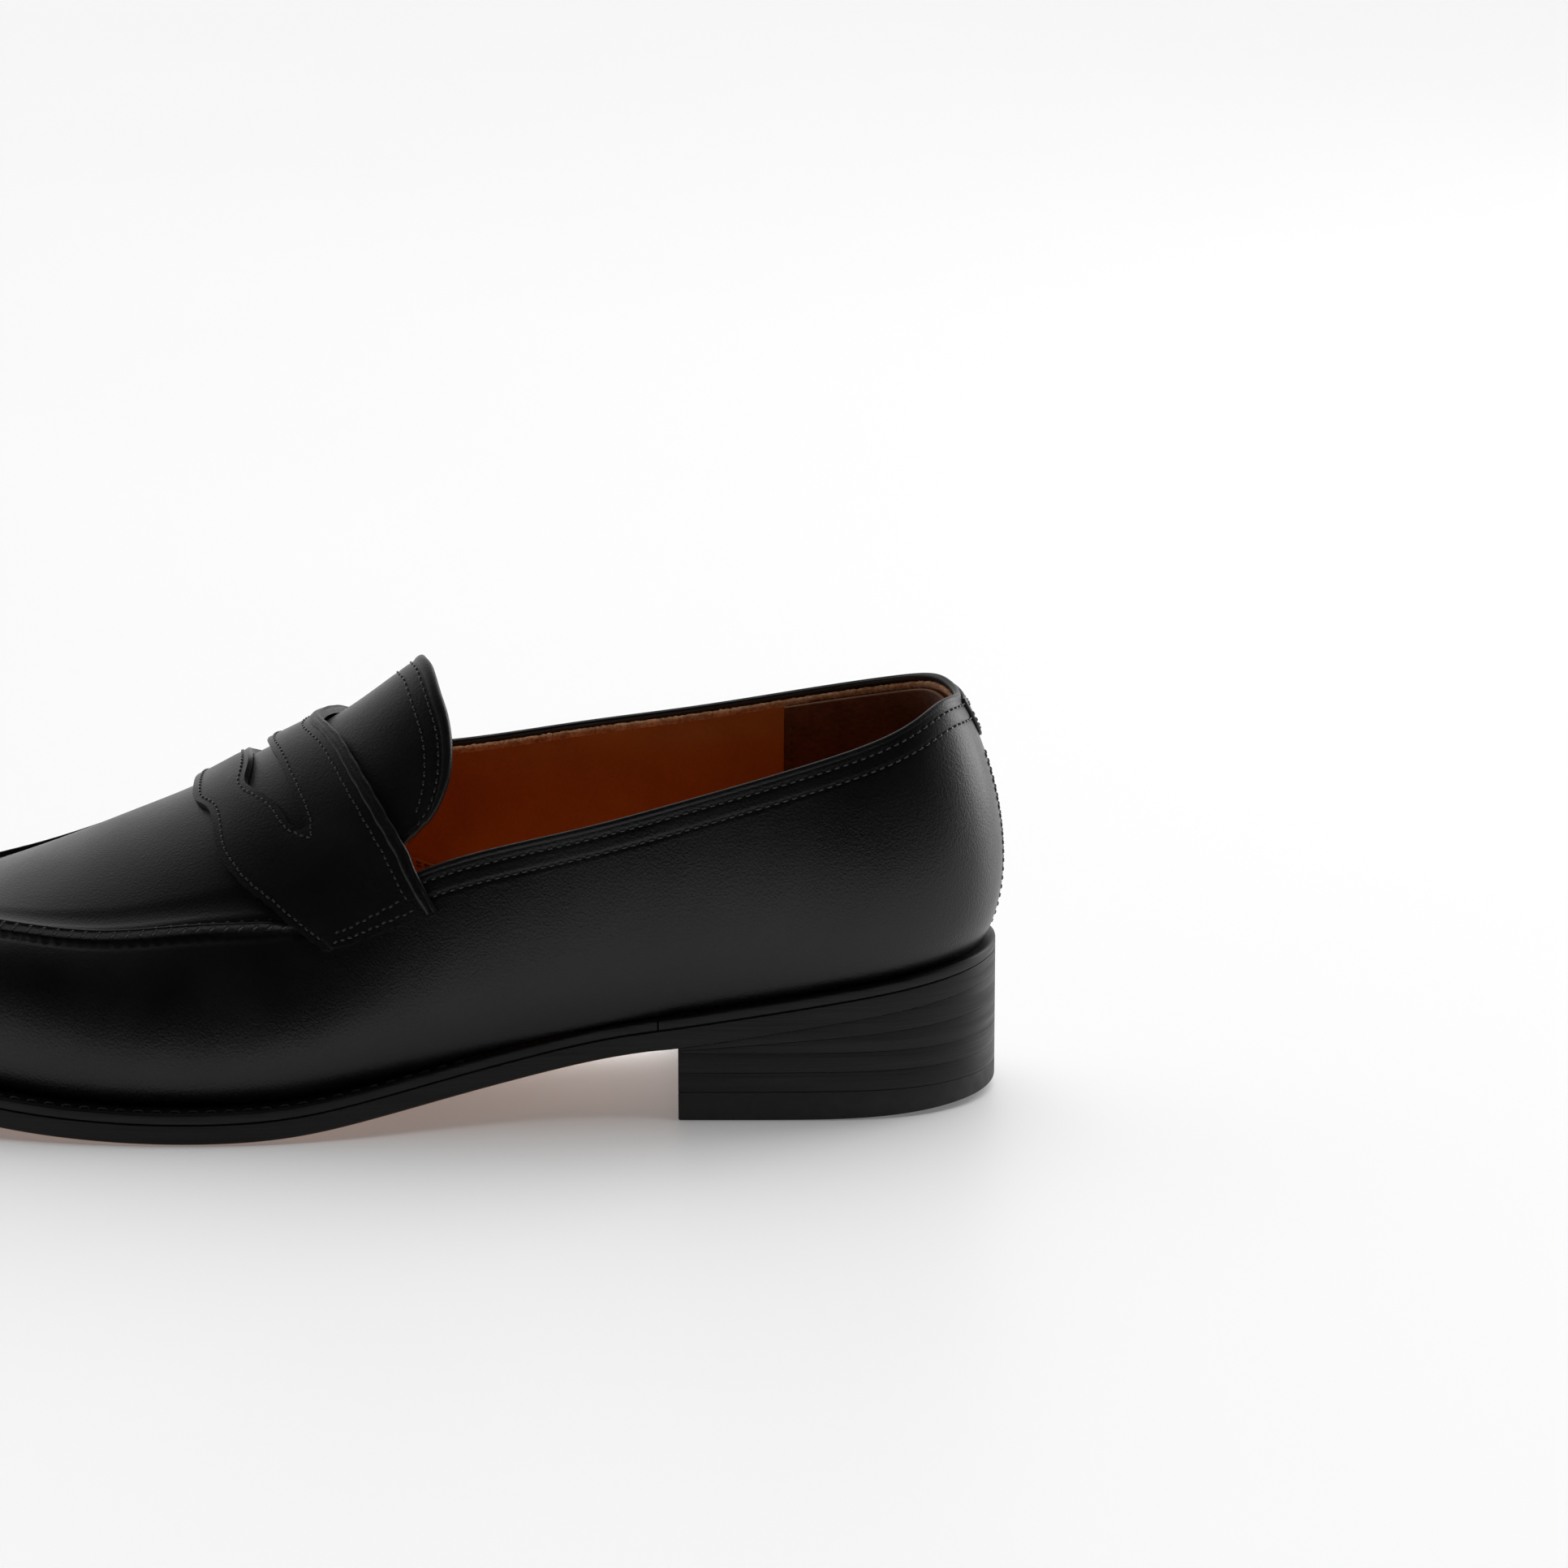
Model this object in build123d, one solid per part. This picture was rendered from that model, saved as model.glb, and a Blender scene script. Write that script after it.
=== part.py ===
from build123d import *
import math
import os

import numpy as np

# Penny loafer, left shoe, millimetres. X runs from the heel to the toe, Y to the outer side, Z up.
# The last is drawn with X = 0 at the back of the upper, and the finished shoe is moved so that its
# origin lies on the floor, under the middle of its outline.

# ---- driving dimensions ----
WELT_THICK = 2.8
OUTSOLE_THICK = 5.0
SOLE_THICK = WELT_THICK + OUTSOLE_THICK
TOP_PIECE_THICK = 7.0
FLAT_LIFT_THICK = 4.8
BREAST_X = 79.0           # front face of the heel
HEEL_FLAT_X = 48.0        # the heel's underside is flat from here to the breast, and rises behind
HEEL_TOE_RISE = 2.6       # how far the underside rises at the very back
HEEL_CUT = 0.05           # what the floor plane takes off the heel to make its standing face flat
LEATHER = 1.4             # thickness of the skirt and the apron
LINING = 0.9
STIFFENER = 1.1           # heel counter and toe puff
GAP = 0.06                # between layers that lie on each other
STRAP_THICK = 1.8
TONGUE_LIFT = -0.55       # outer face of the tongue, below the face of the upper
TONGUE_THICK = 1.2
TONGUE_LINING = 0.8
BEAD_HEIGHT = 1.1         # rolled edge on top of the topline
BEAD_WIDTH = 1.6
RIDGE_HEIGHT = 1.7        # hand-sewn ridge round the apron
RIDGE_WIDTH = 2.3
RIDGE_LIFT = 0.25
RIDGE_INSET = 0.8
INSOLE_INSET = 4.6
INSOLE_THICK = 3.4
SOCK_THICK = 0.9
WELT_INSET = 3.0          # how far the welt reaches in under the upper
RAND_X = 84.0             # the welt ends and the heel's rand begins
SHANK_X = (62.0, 150.0)
SHANK_WIDTH = 12.0
SHANK_THICK = 1.2
BREAST_RADIUS = 180.0
BREAST_HOLLOW = 2.0
NAIL_RADIUS = 0.9
NAIL_INSET = 3.5
NAIL_ROW_REACH = 88.0     # the rim row of nails runs this far to each side of the back
HEEL_NAIL_RADIUS = 1.2
HEEL_NAILS = [(18.0, 0.0), (34.0, 14.0), (34.0, -14.0), (54.0, 9.0), (54.0, -9.0)]
BACK_SEAM = 0.15          # half the gap of the back seam
APRON_INSET = 1.35        # the apron's edge stays this far inside the skirt's
LINING_INSET = 4.0
RIDGE_ENDS = (173.8, 192.0)       # the ridge starts just in front of the strap, lateral and medial
BEAD_ENDS = (138.0, 141.0)        # the topline's rolled edge ends just behind the strap
STRAP_LIFT = 0.3          # clear of the upper's face
SLOT_GIRTHS = (-27.0, 36.5)
SLOT_CUTTER = (-1.6, 5.0)     # the slot is cut between these lifts
PIPING_WIDTH = 2.4
PIPING_THICK = 0.8
TAB_REACH = 12.0
TAB_MIDDLE = -9.0          # from the back seam; the tab is on the medial side
TAB_LIFT = 0.3
TAB_TOP = 0.985
TAB_DROP = 0.155
COUNTER_REACH = 84.0
PUFF_REACH = 84.0
GRIP_REACH = 64.0
GRIP_THICK = 0.8
GRIP_TOP = 0.95
LINING_SEAM_X = 160.0


class Curve:
    """A cubic spline through values at given stations: natural at its ends, or closed on itself."""

    def __init__(self, stations, values, closed=False):
        self.s = np.asarray(stations, float)
        self.v = np.asarray(values, float).reshape(len(values), -1)
        self.closed = closed
        n = len(self.v)
        h = np.diff(self.s)
        rows = np.eye(n)
        right = np.zeros_like(self.v)
        for i in range(0 if closed else 1, n if closed else n - 1):
            before, after = h[i - 1], h[i]
            rows[i] = 0
            rows[i, i - 1] += before
            rows[i, i] += 2 * (before + after)
            rows[i, (i + 1) % n] += after
            slope_after = (self.v[(i + 1) % n] - self.v[i]) / after
            slope_before = (self.v[i] - self.v[i - 1]) / before
            right[i] = 6 * (slope_after - slope_before)
        self.m = np.linalg.solve(rows, right)

    def __call__(self, at):
        at = at % self.s[-1] if self.closed else min(max(at, self.s[0]), self.s[-1])
        i = min(max(int(np.searchsorted(self.s, at, side="right")) - 1, 0), len(self.s) - 2)
        j = (i + 1) % len(self.v)
        h = self.s[i + 1] - self.s[i]
        a = (self.s[i + 1] - at) / h
        b = 1 - a
        bend = (a ** 3 - a) * self.m[i] + (b ** 3 - b) * self.m[j]
        value = a * self.v[i] + b * self.v[j] + bend * h * h / 6
        return value if len(value) > 1 else float(value[0])


# ---- the last: sole profile, crest and cross arch of the instep ----
# x: underside of the outsole above the floor
SOLE_PROFILE = {-20: 32.5, 3: 29.5, 40: 24.0, 79: 17.8, 95: 15.3, 112: 12.0, 132: 8.0, 151: 4.2, 168: 1.35,
                190: 0.06, 215: 0.45, 240: 2.4, 265: 6.0, 297: 13.0, 320: 19.5}
CREST_HEIGHT = {100: 125.0, 120: 118.0, 141: 106.4, 162: 91.0, 180: 81.0, 194: 73.0, 212: 65.0, 231: 57.5,
                247: 52.0, 263: 46.5, 275: 42.0}
CREST_SIDE = {100: 2.0, 141: 0.0, 165: -3.0, 190: -7.0, 215: -8.0, 263: -4.0}      # x: crest's place across
ARCH_LATERAL = {100: 0.040, 141: 0.036, 165: 0.0225, 192: 0.0134, 212: 0.0098, 231: 0.0070, 247: 0.0050,
                263: 0.0045}
ARCH_MEDIAL = {100: 0.036, 141: 0.0335, 165: 0.0225, 192: 0.0180, 212: 0.0125, 231: 0.0100, 247: 0.0080,
               263: 0.0060}

# Stations round the shoe, from the back seam along the lateral side, round the toe and back along the
# medial side. Each has the feather line (x, y), the top of the wall (x, y, z; no z where it lies on the
# arch of the instep), and how the wall leaves the feather (out, up) and reaches its top (out, down).
STATIONS = [
    ((5.5, 0), (11.5, 0, 96.5), (8.0, 12), (11.5, 21)),
    ((10, 16), (15.5, 12.5, 97.2), (8.0, 12), (11.0, 21)),
    ((23, 26.5), (25, 21.5, 92.7), (8.0, 12), (11.0, 20)),
    ((45, 30.5), (45, 28, 86.0), (7.0, 13), (8.0, 19)),
    ((75, 31), (75, 31.5, 77.7), (6.5, 13), (5.0, 16)),
    ((105, 33), (105, 33.5, 70.0), (6.5, 13), (4.0, 15)),
    ((135, 38.5), (138, 36, 61.8), (7.0, 13), (6.0, 14)),
    ((163, 45), (163, 38), (7.0, 13), (8.5, 15.5)),
    ((190, 48), (190, 37), (6.0, 11), (11.0, 12)),
    ((216, 46.5), (214, 35.5), (5.0, 10), (13.0, 9.5)),
    ((240, 41), (234, 31.5), (4.0, 10), (14.0, 6)),
    ((262, 31), (249, 24), (3.5, 10), (14.0, 5)),
    ((280, 17.5), (259, 12), (3.5, 10), (16.0, 5)),
    ((288, 0), (262.5, -3), (3.5, 10), (17.0, 5)),
    ((282, -14.5), (259.5, -15), (3.5, 10), (16.0, 5)),
    ((266, -26.5), (250.5, -24), (4.0, 10), (12.0, 6)),
    ((244, -35.5), (236, -29.5), (4.0, 11), (10.0, 8)),
    ((218, -40.5), (216, -30.5), (5.0, 12), (10.0, 12)),
    ((192, -40.5), (192, -27), (6.0, 15), (10.0, 16)),
    ((165, -35), (165, -28), (8.0, 18), (8.0, 18)),
    ((135, -28), (136, -30, 77.5), (10.0, 20), (5.0, 20)),
    ((105, -25.5), (105, -29.5, 82.0), (9.0, 18), (4.0, 20)),
    ((75, -28), (75, -29, 86.3), (8.0, 14), (5.0, 20)),
    ((45, -29.5), (45, -27, 91.7), (7.5, 13), (8.0, 21)),
    ((23, -26.5), (24, -21.5, 96.0), (8.0, 12), (11.0, 21)),
    ((10, -16), (15, -12.5, 97.6), (8.0, 12), (11.0, 21)),
]
TOE_STATION = 13

# Flat patterns: x against the girth from the crest, measured round the instep, lateral side positive.
STRAP_RUNGS = [           # from the medial end to the lateral end: rear (x, girth) and front (x, girth)
    ((140.5, -46), (168.5, -41)), ((146.0, -38), (178.0, -33)), ((152.0, -29), (186.0, -26)),
    ((158.5, -17), (192.5, -17)), ((162.5, -8), (195.0, -8)), ((164.5, 0), (195.6, 0)),
    ((163.1, 6), (195.3, 8)), ((160.3, 12), (194.4, 13.8)), ((157.6, 18), (191.4, 18.4)),
    ((154.8, 25), (189.4, 24.8)), ((152.1, 31.5), (188.3, 32.4)), ((149.4, 38), (185.5, 39.5)),
    ((146.9, 44), (181.5, 45.7)), ((144.3, 50), (175.5, 52.5)), ((141.9, 56), (169.5, 59.5)),
    ((139.2, 64), (165.6, 64.0)), ((136.4, 72), (162.8, 67.5)),
]
SLOT_REAR = {-30: 170.0, -15: 174.5, 0: 177.6, 12.2: 174.4, 21.7: 171.3, 30.6: 168.1, 38: 166.0}
SLOT_FRONT = {-30: 171.5, -22: 176.5, -15: 181.0, 0: 182.2, 11.4: 181.9, 15.5: 182.0, 21.4: 178.4,
              25.9: 174.6, 31.7: 171.4, 38: 167.0}
TONGUE_REAR = {-28: 153.0, -25: 150.8, -22: 148.6, -18: 145.8, -13: 143.0, -7: 141.4, 0: 140.8, 8: 138.8,
               17.2: 136.5, 24.8: 134.4, 30.6: 133.3, 37.1: 133.0, 41.5: 133.5, 45.7: 135.0, 49.4: 138.5,
               52: 144.0}
TONGUE_HIDDEN = 5.5       # how far the tongue reaches under the strap
TONGUE_GIRTHS = np.linspace(min(TONGUE_REAR), max(TONGUE_REAR) - 0.8, 40)
# x: how far the sole stands out past the feather line
EDGE_REACH = {-20: 3.0, 40: 3.0, 70: 3.0, 80: 2.7, 92: 1.8, 120: 2.5, 150: 5.0, 175: 6.3, 200: 6.5,
              320: 6.5}


def table(values, closed=False):
    return Curve(list(values), list(values.values()), closed)


sole_height = table(SOLE_PROFILE)
crest_height = table(CREST_HEIGHT)
crest_side = table(CREST_SIDE)
arches = {True: table(ARCH_LATERAL), False: table(ARCH_MEDIAL)}      # by lateral side
edge_reach = table(EDGE_REACH)
strap_rear = table({rear[1]: rear[0] for rear, _ in STRAP_RUNGS})
tongue_rear = table(TONGUE_REAR)


def instep(x, y):
    """Height of the instep's surface, on which the apron, the tongue and the strap lie."""
    across = y - crest_side(x)
    return crest_height(x) - arches[bool(across > 0)](x) * across ** 2


def make_rows():
    """The four closed rows of control points of the wall, from the feather line to the top."""
    feather = np.array([station[0] for station in STATIONS], float)
    steps = np.linalg.norm(np.roll(feather, -1, axis=0) - feather, axis=1)
    lengths = np.concatenate([[0], np.cumsum(steps)])
    plan = Curve(lengths, feather, closed=True)
    rows = [[], [], [], []]
    for at, (foot, top, leave, arrive) in zip(lengths, STATIONS):
        out = np.append(outward(plan, at), 0)
        low = np.array([*foot, sole_height(foot[0]) + SOLE_THICK + GAP])
        high = np.array([*top[:2], top[2] if len(top) == 3 else instep(*top)])
        rows[0].append(low)
        rows[1].append(low + out * leave[0] + [0, 0, leave[1]])
        rows[2].append(high + out * arrive[0] - [0, 0, arrive[1]])
        rows[3].append(high)
    return lengths, plan, [Curve(lengths, row, closed=True) for row in rows]


def outward(plan, at):
    """Unit normal of the feather line, seen from above."""
    along = plan(at + 0.5) - plan(at - 0.5)
    return np.array([-along[1], along[0]]) / np.linalg.norm(along)


LENGTHS, PLAN, ROWS = make_rows()
ROUND = LENGTHS[-1]
TOE = LENGTHS[TOE_STATION]


def wall_point(t, v):
    a, b, c, d = (row(t) for row in ROWS)
    return (1 - v) ** 3 * a + 3 * v * (1 - v) ** 2 * b + 3 * v * v * (1 - v) * c + v ** 3 * d


def wall(t, v, lift=0.0):
    """A point of the upper's wall, t mm round the feather line and v of the way up, lifted off the surface."""
    along = wall_point(t + 0.4, v) - wall_point(t - 0.4, v)
    up = wall_point(t, min(v + 0.004, 1)) - wall_point(t, max(v - 0.004, 0))
    normal = np.cross(up, along)
    return wall_point(t, v) + normal / np.linalg.norm(normal) * lift


def station_at(x, lateral):
    """Where round the shoe the wall's top is at x."""
    low, high = (0.0, TOE) if lateral else (ROUND, TOE)
    for _ in range(40):
        middle = (low + high) / 2
        if ROWS[3](middle)[0] < x:
            low = middle
        else:
            high = middle
    return (low + high) / 2


def arch_to_wall(lateral):
    """The arch that meets the wall's top at every x, up to where the seam turns round the toe."""
    values = {}
    for x in range(100, 236, 5):
        top = wall_point(station_at(x, lateral), 1.0)
        values[x] = (crest_height(x) - top[2]) / (top[1] - crest_side(x)) ** 2
    for x in (250, 263, 275):
        values[x] = arches[lateral](x)
    return table(values)


arches = {lateral: arch_to_wall(lateral) for lateral in (True, False)}


def hoop(x):
    """The upper's section at x, from low on the lateral wall, over the crest, to low on the medial wall."""
    lateral, medial = station_at(x, True), station_at(x, False)
    rise = np.linspace(0.35, 1, 30)
    left = [wall_point(lateral, v) for v in rise]
    right = [wall_point(medial, v) for v in rise[::-1]]
    between = np.linspace(left[-1][1], right[0][1], 80)[1:-1]
    return np.array(left + [np.array([x, y, instep(x, y)]) for y in between] + right)


class Instep:
    """Points of the instep by x and girth, with each section worked out once."""

    def __init__(self):
        self.sections = {}

    def section(self, x):
        key = round(x)
        if key not in self.sections:
            points = hoop(key)
            steps = np.linalg.norm(np.diff(points, axis=0), axis=1)
            girth = np.concatenate([[0], np.cumsum(steps)])
            low = points[:, 2] < crest_height(key) - 3
            crest = np.argmin(np.abs(points[:, 1] - crest_side(key)) + 100 * low)
            self.sections[key] = (girth[crest] - girth[::-1], points[::-1])
        return self.sections[key]

    def point(self, x, girth):
        low = math.floor(x)
        ends = []
        for girths, points in (self.section(low), self.section(low + 1)):
            ends.append(np.array([np.interp(girth, girths, points[:, k]) for k in range(3)]))
        return ends[0] + (x - low) * (ends[1] - ends[0])

    def __call__(self, x, girth, lift=0.0):
        ahead = self.point(x + 1.5, girth) - self.point(x - 1.5, girth)
        across = self.point(x, girth + 1.5) - self.point(x, girth - 1.5)
        normal = np.cross(ahead, across)
        return self.point(x, girth) + normal / np.linalg.norm(normal) * lift


on_instep = Instep()


# ---- solids ----
def spline(points):
    points = [Vector(*point) for point in points]
    return Edge.make_spline(points, parameters=list(range(len(points))))


def line(start, end):
    return Edge.make_line(Vector(*start), Vector(*end))


def biggest(shape):
    return max(shape.solids(), key=lambda solid: solid.volume)


def flattened(rows):
    """Rows of points moved onto the plane that fits them best."""
    points = np.vstack(rows)
    middle = points.mean(axis=0)
    normal = np.linalg.svd(points - middle)[2][-1]
    return [row - np.outer((row - middle) @ normal, normal) for row in map(np.array, rows)]


def closed_section(rows):
    """A closed wire of one spline for each row of points, with straight lines between their ends."""
    edges = []
    for row, following in zip(rows, rows[1:] + rows[:1]):
        edges.append(spline(row))
        if np.linalg.norm(np.subtract(row[-1], following[0])) > 1e-6:
            edges.append(line(row[-1], following[0]))
    return Wire(edges)


def loft(sections):
    """A solid through sections, each a list of rows of points. Its two end faces are flat."""
    ends = {0, len(sections) - 1}
    wires = [closed_section(flattened(rows) if i in ends else rows) for i, rows in enumerate(sections)]
    return biggest(Solid.make_loft(wires).fix())


def wall_panel(ts, bottom, top, outside, inside, rows=7):
    """Leather on the wall between two heights; the heights and the lifts may vary along it."""
    sections = []
    for t in ts:
        rise = np.linspace(bottom(t), top(t), rows)
        outer = [wall(t, v, outside(t, v)) for v in rise]
        inner = [wall(t, v, inside(t, v)) for v in rise[::-1]]
        sections.append([outer, inner])
    return loft(sections)


def instep_panel(rungs, outside, inside, columns=7):
    """Leather on the instep, through rungs that each run from a rear to a front (x, girth)."""
    sections = []
    for rear, front in rungs:
        shares = np.linspace(0, 1, columns)[:, None]
        places = np.array(rear) + (np.array(front) - np.array(rear)) * shares
        outer = [on_instep(x, girth, outside) for x, girth in places]
        inner = [on_instep(x, girth, inside) for x, girth in places[::-1]]
        sections.append([outer, inner])
    return loft(sections)


def rungs_between(rear, front, girths):
    """Rungs of constant girth between two outlines, each x against girth."""
    return [((rear(g), g), (front(g), g)) for g in girths]


def strap_rungs(count=40):
    numbers = list(range(len(STRAP_RUNGS)))
    rear, front = (Curve(numbers, [rung[k] for rung in STRAP_RUNGS]) for k in (0, 1))
    return [(rear(i), front(i)) for i in np.linspace(0, numbers[-1], count)]


def constant(value):
    return lambda *_: value


def plan_outline(reach, step=9.0):
    """The feather line moved outward by reach(x), as a closed face on the floor."""
    points = []
    for t in np.linspace(0, ROUND, int(ROUND / step) + 1)[:-1]:
        foot = PLAN(t)
        points.append(Vector(*(foot + outward(PLAN, t) * reach(foot[0])), 0))
    return Face(Wire([Edge.make_spline(points, periodic=True)]))


def prism(face, low=-10.0, high=150.0):
    return biggest(Solid.extrude(face.moved(Location((0, 0, low))), Vector(0, 0, high - low)).fix())


def slab(bottom, top, x0=-20.0, x1=320.0, half_width=70.0):
    """The space between two height profiles along the shoe."""
    xs = np.linspace(x0, x1, 24)
    lower = Edge.make_spline([Vector(x, -half_width, bottom(x)) for x in xs])
    upper = Edge.make_spline([Vector(x, -half_width, top(x)) for x in xs])
    front, back = line(lower @ 1, upper @ 1), line(upper @ 0, lower @ 0)
    return biggest(Solid.extrude(Face(Wire([lower, front, upper, back])), Vector(0, 2 * half_width, 0)).fix())


def above_sole(height):
    return lambda x: sole_height(x) + height


def part_of_length(x0, x1, half_width=80.0):
    return Solid.make_box(x1 - x0, 2 * half_width, 200, Plane(origin=(x0, -half_width, -20)))


# ---- upper ----
def between_stations(x_lateral, x_medial, count):
    return np.linspace(station_at(x_lateral, True), station_at(x_medial, False), count)


def make_skirt():
    """Vamp sides and quarters in one piece, closed by a seam at the back."""
    ts = np.linspace(BACK_SEAM, ROUND - BACK_SEAM, 64)
    return wall_panel(ts, constant(0.0), constant(1.0), constant(0.0), constant(-LEATHER), rows=9)


def instep_lifted(x, y, lift):
    """A point of the instep, lifted along its normal."""
    slope_x = (instep(x + 0.5, y) - instep(x - 0.5, y))
    slope_y = (instep(x, y + 0.5) - instep(x, y - 0.5))
    normal = np.array([-slope_x, -slope_y, 1.0])
    return np.array([x, y, instep(x, y)]) + normal / np.linalg.norm(normal) * lift


def apron_plan(inset, rear_gap):
    """Plan of the apron: inside the seam round the toe, with a rear edge that follows the strap's."""
    rear = []
    for girth in np.linspace(-42, 66, 37):
        x, y = on_instep(strap_rear(girth) + rear_gap, girth)[:2]
        lateral = y > crest_side(x)
        room = (wall_point(station_at(x, lateral), 1.0)[1] - y) * (1 if lateral else -1)
        if room > inset + 0.8:
            rear.append(Vector(x, y, 0))
    ends = between_stations(rear[-1].X + 1.2, rear[0].X + 1.2, 46)
    seam = [Vector(*wall_point(t, 1.0)[:2], 0) for t in ends]
    rim = []
    for i, point in enumerate(seam):
        along = seam[min(i + 1, len(seam) - 1)] - seam[max(i - 1, 0)]
        rim.append(point + Vector(along.Y, -along.X, 0).normalized() * inset)
    front, back = Edge.make_spline(rim), Edge.make_spline(rear)
    return Face(Wire([front, line(front @ 1, back @ 0), back, line(back @ 1, front @ 0)]))


def instep_sheet(outside, inside):
    sections = []
    for x in np.linspace(136.0, 272.0, 20):
        ys = np.linspace(-44, 44, 13)
        outer = [instep_lifted(x, y, outside) for y in ys]
        inner = [instep_lifted(x, y, inside) for y in ys[::-1]]
        sections.append([outer, inner])
    return loft(sections)


def make_apron():
    """The plug of the vamp, inside the hand-sewn seam."""
    plan = apron_plan(APRON_INSET, TONGUE_HIDDEN + 1.0)
    return biggest(instep_sheet(0.0, -LEATHER) & prism(plan))


def make_apron_lining():
    depth = LEATHER + GAP
    plan = apron_plan(LINING_INSET, TONGUE_HIDDEN + 2.0)
    return biggest(instep_sheet(-depth, -depth - LINING) & prism(plan))


def make_ridge():
    """Raised hand-sewn ridge over the seam between the apron and the skirt."""
    sections = []
    for t in between_stations(*RIDGE_ENDS, 60):
        top = wall_point(t, 1.0)
        along = wall_point(t + 0.5, 1.0) - wall_point(t - 0.5, 1.0)
        along /= np.linalg.norm(along)
        facing = wall(t, 1.0, 1.0) - top + instep_lifted(top[0], top[1], 1.0) - top
        facing -= along * np.dot(along, facing)
        facing /= np.linalg.norm(facing)
        inward = np.cross(facing, along)
        base = top + facing * RIDGE_LIFT
        angles = np.linspace(0, math.pi, 7)
        arc = []
        for a in angles:
            across = RIDGE_INSET + math.cos(a) * RIDGE_WIDTH / 2
            arc.append(base + inward * across + facing * math.sin(a) * RIDGE_HEIGHT)
        sections.append([arc])
    return loft(sections)


def make_strap():
    """The saddle strap, from low on the lateral wall over to the medial wall, with its penny slot."""
    body = instep_panel(strap_rungs(), STRAP_LIFT + STRAP_THICK, STRAP_LIFT, columns=9)
    slot_rungs = rungs_between(table(SLOT_REAR), table(SLOT_FRONT), np.linspace(*SLOT_GIRTHS, 18))
    return biggest(body - instep_panel(slot_rungs, SLOT_CUTTER[1], SLOT_CUTTER[0], columns=5))


def make_strap_piping():
    """Folded edge along the back of the strap."""
    base = STRAP_LIFT + STRAP_THICK + GAP
    rungs = [(rear + [0.1, 0], rear + [PIPING_WIDTH, 0]) for rear, _ in strap_rungs()[1:-1]]
    return instep_panel(rungs, base + PIPING_THICK, base, columns=4)


def tongue_panel(outside, inside):
    front = table({g: strap_rear(g) + TONGUE_HIDDEN for g in range(-40, 60, 4)})
    return instep_panel(rungs_between(tongue_rear, front, TONGUE_GIRTHS), outside, inside)


def make_tongue():
    return tongue_panel(TONGUE_LIFT, TONGUE_LIFT - TONGUE_THICK)


def make_tongue_lining():
    outside = TONGUE_LIFT - TONGUE_THICK - GAP
    return tongue_panel(outside, outside - TONGUE_LINING)


def make_tongue_binding():
    """Folded edge round the free end of the tongue, over the tongue and its lining."""
    depth = TONGUE_THICK + GAP + TONGUE_LINING
    rungs = [((tongue_rear(g) - 1.4, g), (tongue_rear(g) - 0.1, g)) for g in TONGUE_GIRTHS]
    return instep_panel(rungs, TONGUE_LIFT + 0.15, TONGUE_LIFT - depth - 0.15, columns=3)


def make_topline_bead():
    """Rolled edge along the top of the quarters, from the strap round the back to the strap again."""
    start, end = station_at(BEAD_ENDS[1], False), station_at(BEAD_ENDS[0], True) + ROUND
    sections = []
    for t in np.linspace(start, end, 56):
        top = wall_point(t, 1.0)
        facing = wall(t, 1.0, 1.0) - top
        up = top - wall_point(t, 0.98)
        up /= np.linalg.norm(up)
        middle = top - facing * (LEATHER / 2) + up * GAP
        angles = np.linspace(0, math.pi, 7)
        arc = []
        for a in angles:
            arc.append(middle + facing * math.cos(a) * BEAD_WIDTH / 2 + up * math.sin(a) * BEAD_HEIGHT)
        sections.append([arc])
    return loft(sections)


def make_heel_tab():
    """Small curved tab over the back seam and along the medial side, just under the topline."""
    def bottom(t):
        return TAB_TOP - TAB_DROP * (1 - abs((t - TAB_MIDDLE) / TAB_REACH) ** 2.6) - 0.012
    ts = np.linspace(TAB_MIDDLE - TAB_REACH, TAB_MIDDLE + TAB_REACH, 25)
    return wall_panel(ts, bottom, constant(TAB_TOP), constant(TAB_LIFT + 1.0), constant(TAB_LIFT), rows=5)


# ---- stiffeners and linings ----
def ease(value):
    value = min(max(value, 0.0), 1.0)
    return value * value * (3 - 2 * value)


def from_back(t):
    """Distance from the back seam round the feather line."""
    return min(t % ROUND, ROUND - t % ROUND)


def lining_depth(t, v):
    """Depth of the lining's outer face: behind the leather, and behind the stiffeners where they are."""
    heel = ease((COUNTER_REACH + 22 - from_back(t)) / 20)
    toe = ease((PUFF_REACH + 22 - abs(t % ROUND - TOE)) / 20)
    room = max(heel, toe) * ease((0.97 - v) / 0.12)
    return LEATHER + GAP + room * (STIFFENER + GAP)


def lining_panel(ts, top):
    return wall_panel(ts, constant(0.0), constant(top), lambda t, v: -lining_depth(t, v),
                      lambda t, v: -lining_depth(t, v) - LINING, rows=13)


def make_quarter_lining(lateral):
    if lateral:
        return lining_panel(np.linspace(BACK_SEAM, station_at(LINING_SEAM_X, True), 26), 1.0)
    return lining_panel(np.linspace(station_at(LINING_SEAM_X, False), ROUND - BACK_SEAM, 26), 1.0)


def make_vamp_lining():
    return lining_panel(between_stations(LINING_SEAM_X + 0.3, LINING_SEAM_X + 0.3, 40), 0.93)


def make_heel_grip():
    """Napped pad inside the heel, over the lining."""
    depth = LEATHER + STIFFENER + LINING + 3 * GAP
    ts = np.linspace(-GRIP_REACH, GRIP_REACH, 20)
    return wall_panel(ts, constant(0.1), constant(GRIP_TOP), constant(-depth), constant(-depth - GRIP_THICK))


def stiffener(middle, reach, top):
    ts = np.linspace(middle - reach, middle + reach, 22)
    return wall_panel(ts, constant(0.0), lambda t: top - 0.25 * ((t - middle) / reach) ** 2,
                      constant(-LEATHER - GAP), constant(-LEATHER - GAP - STIFFENER))


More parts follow.
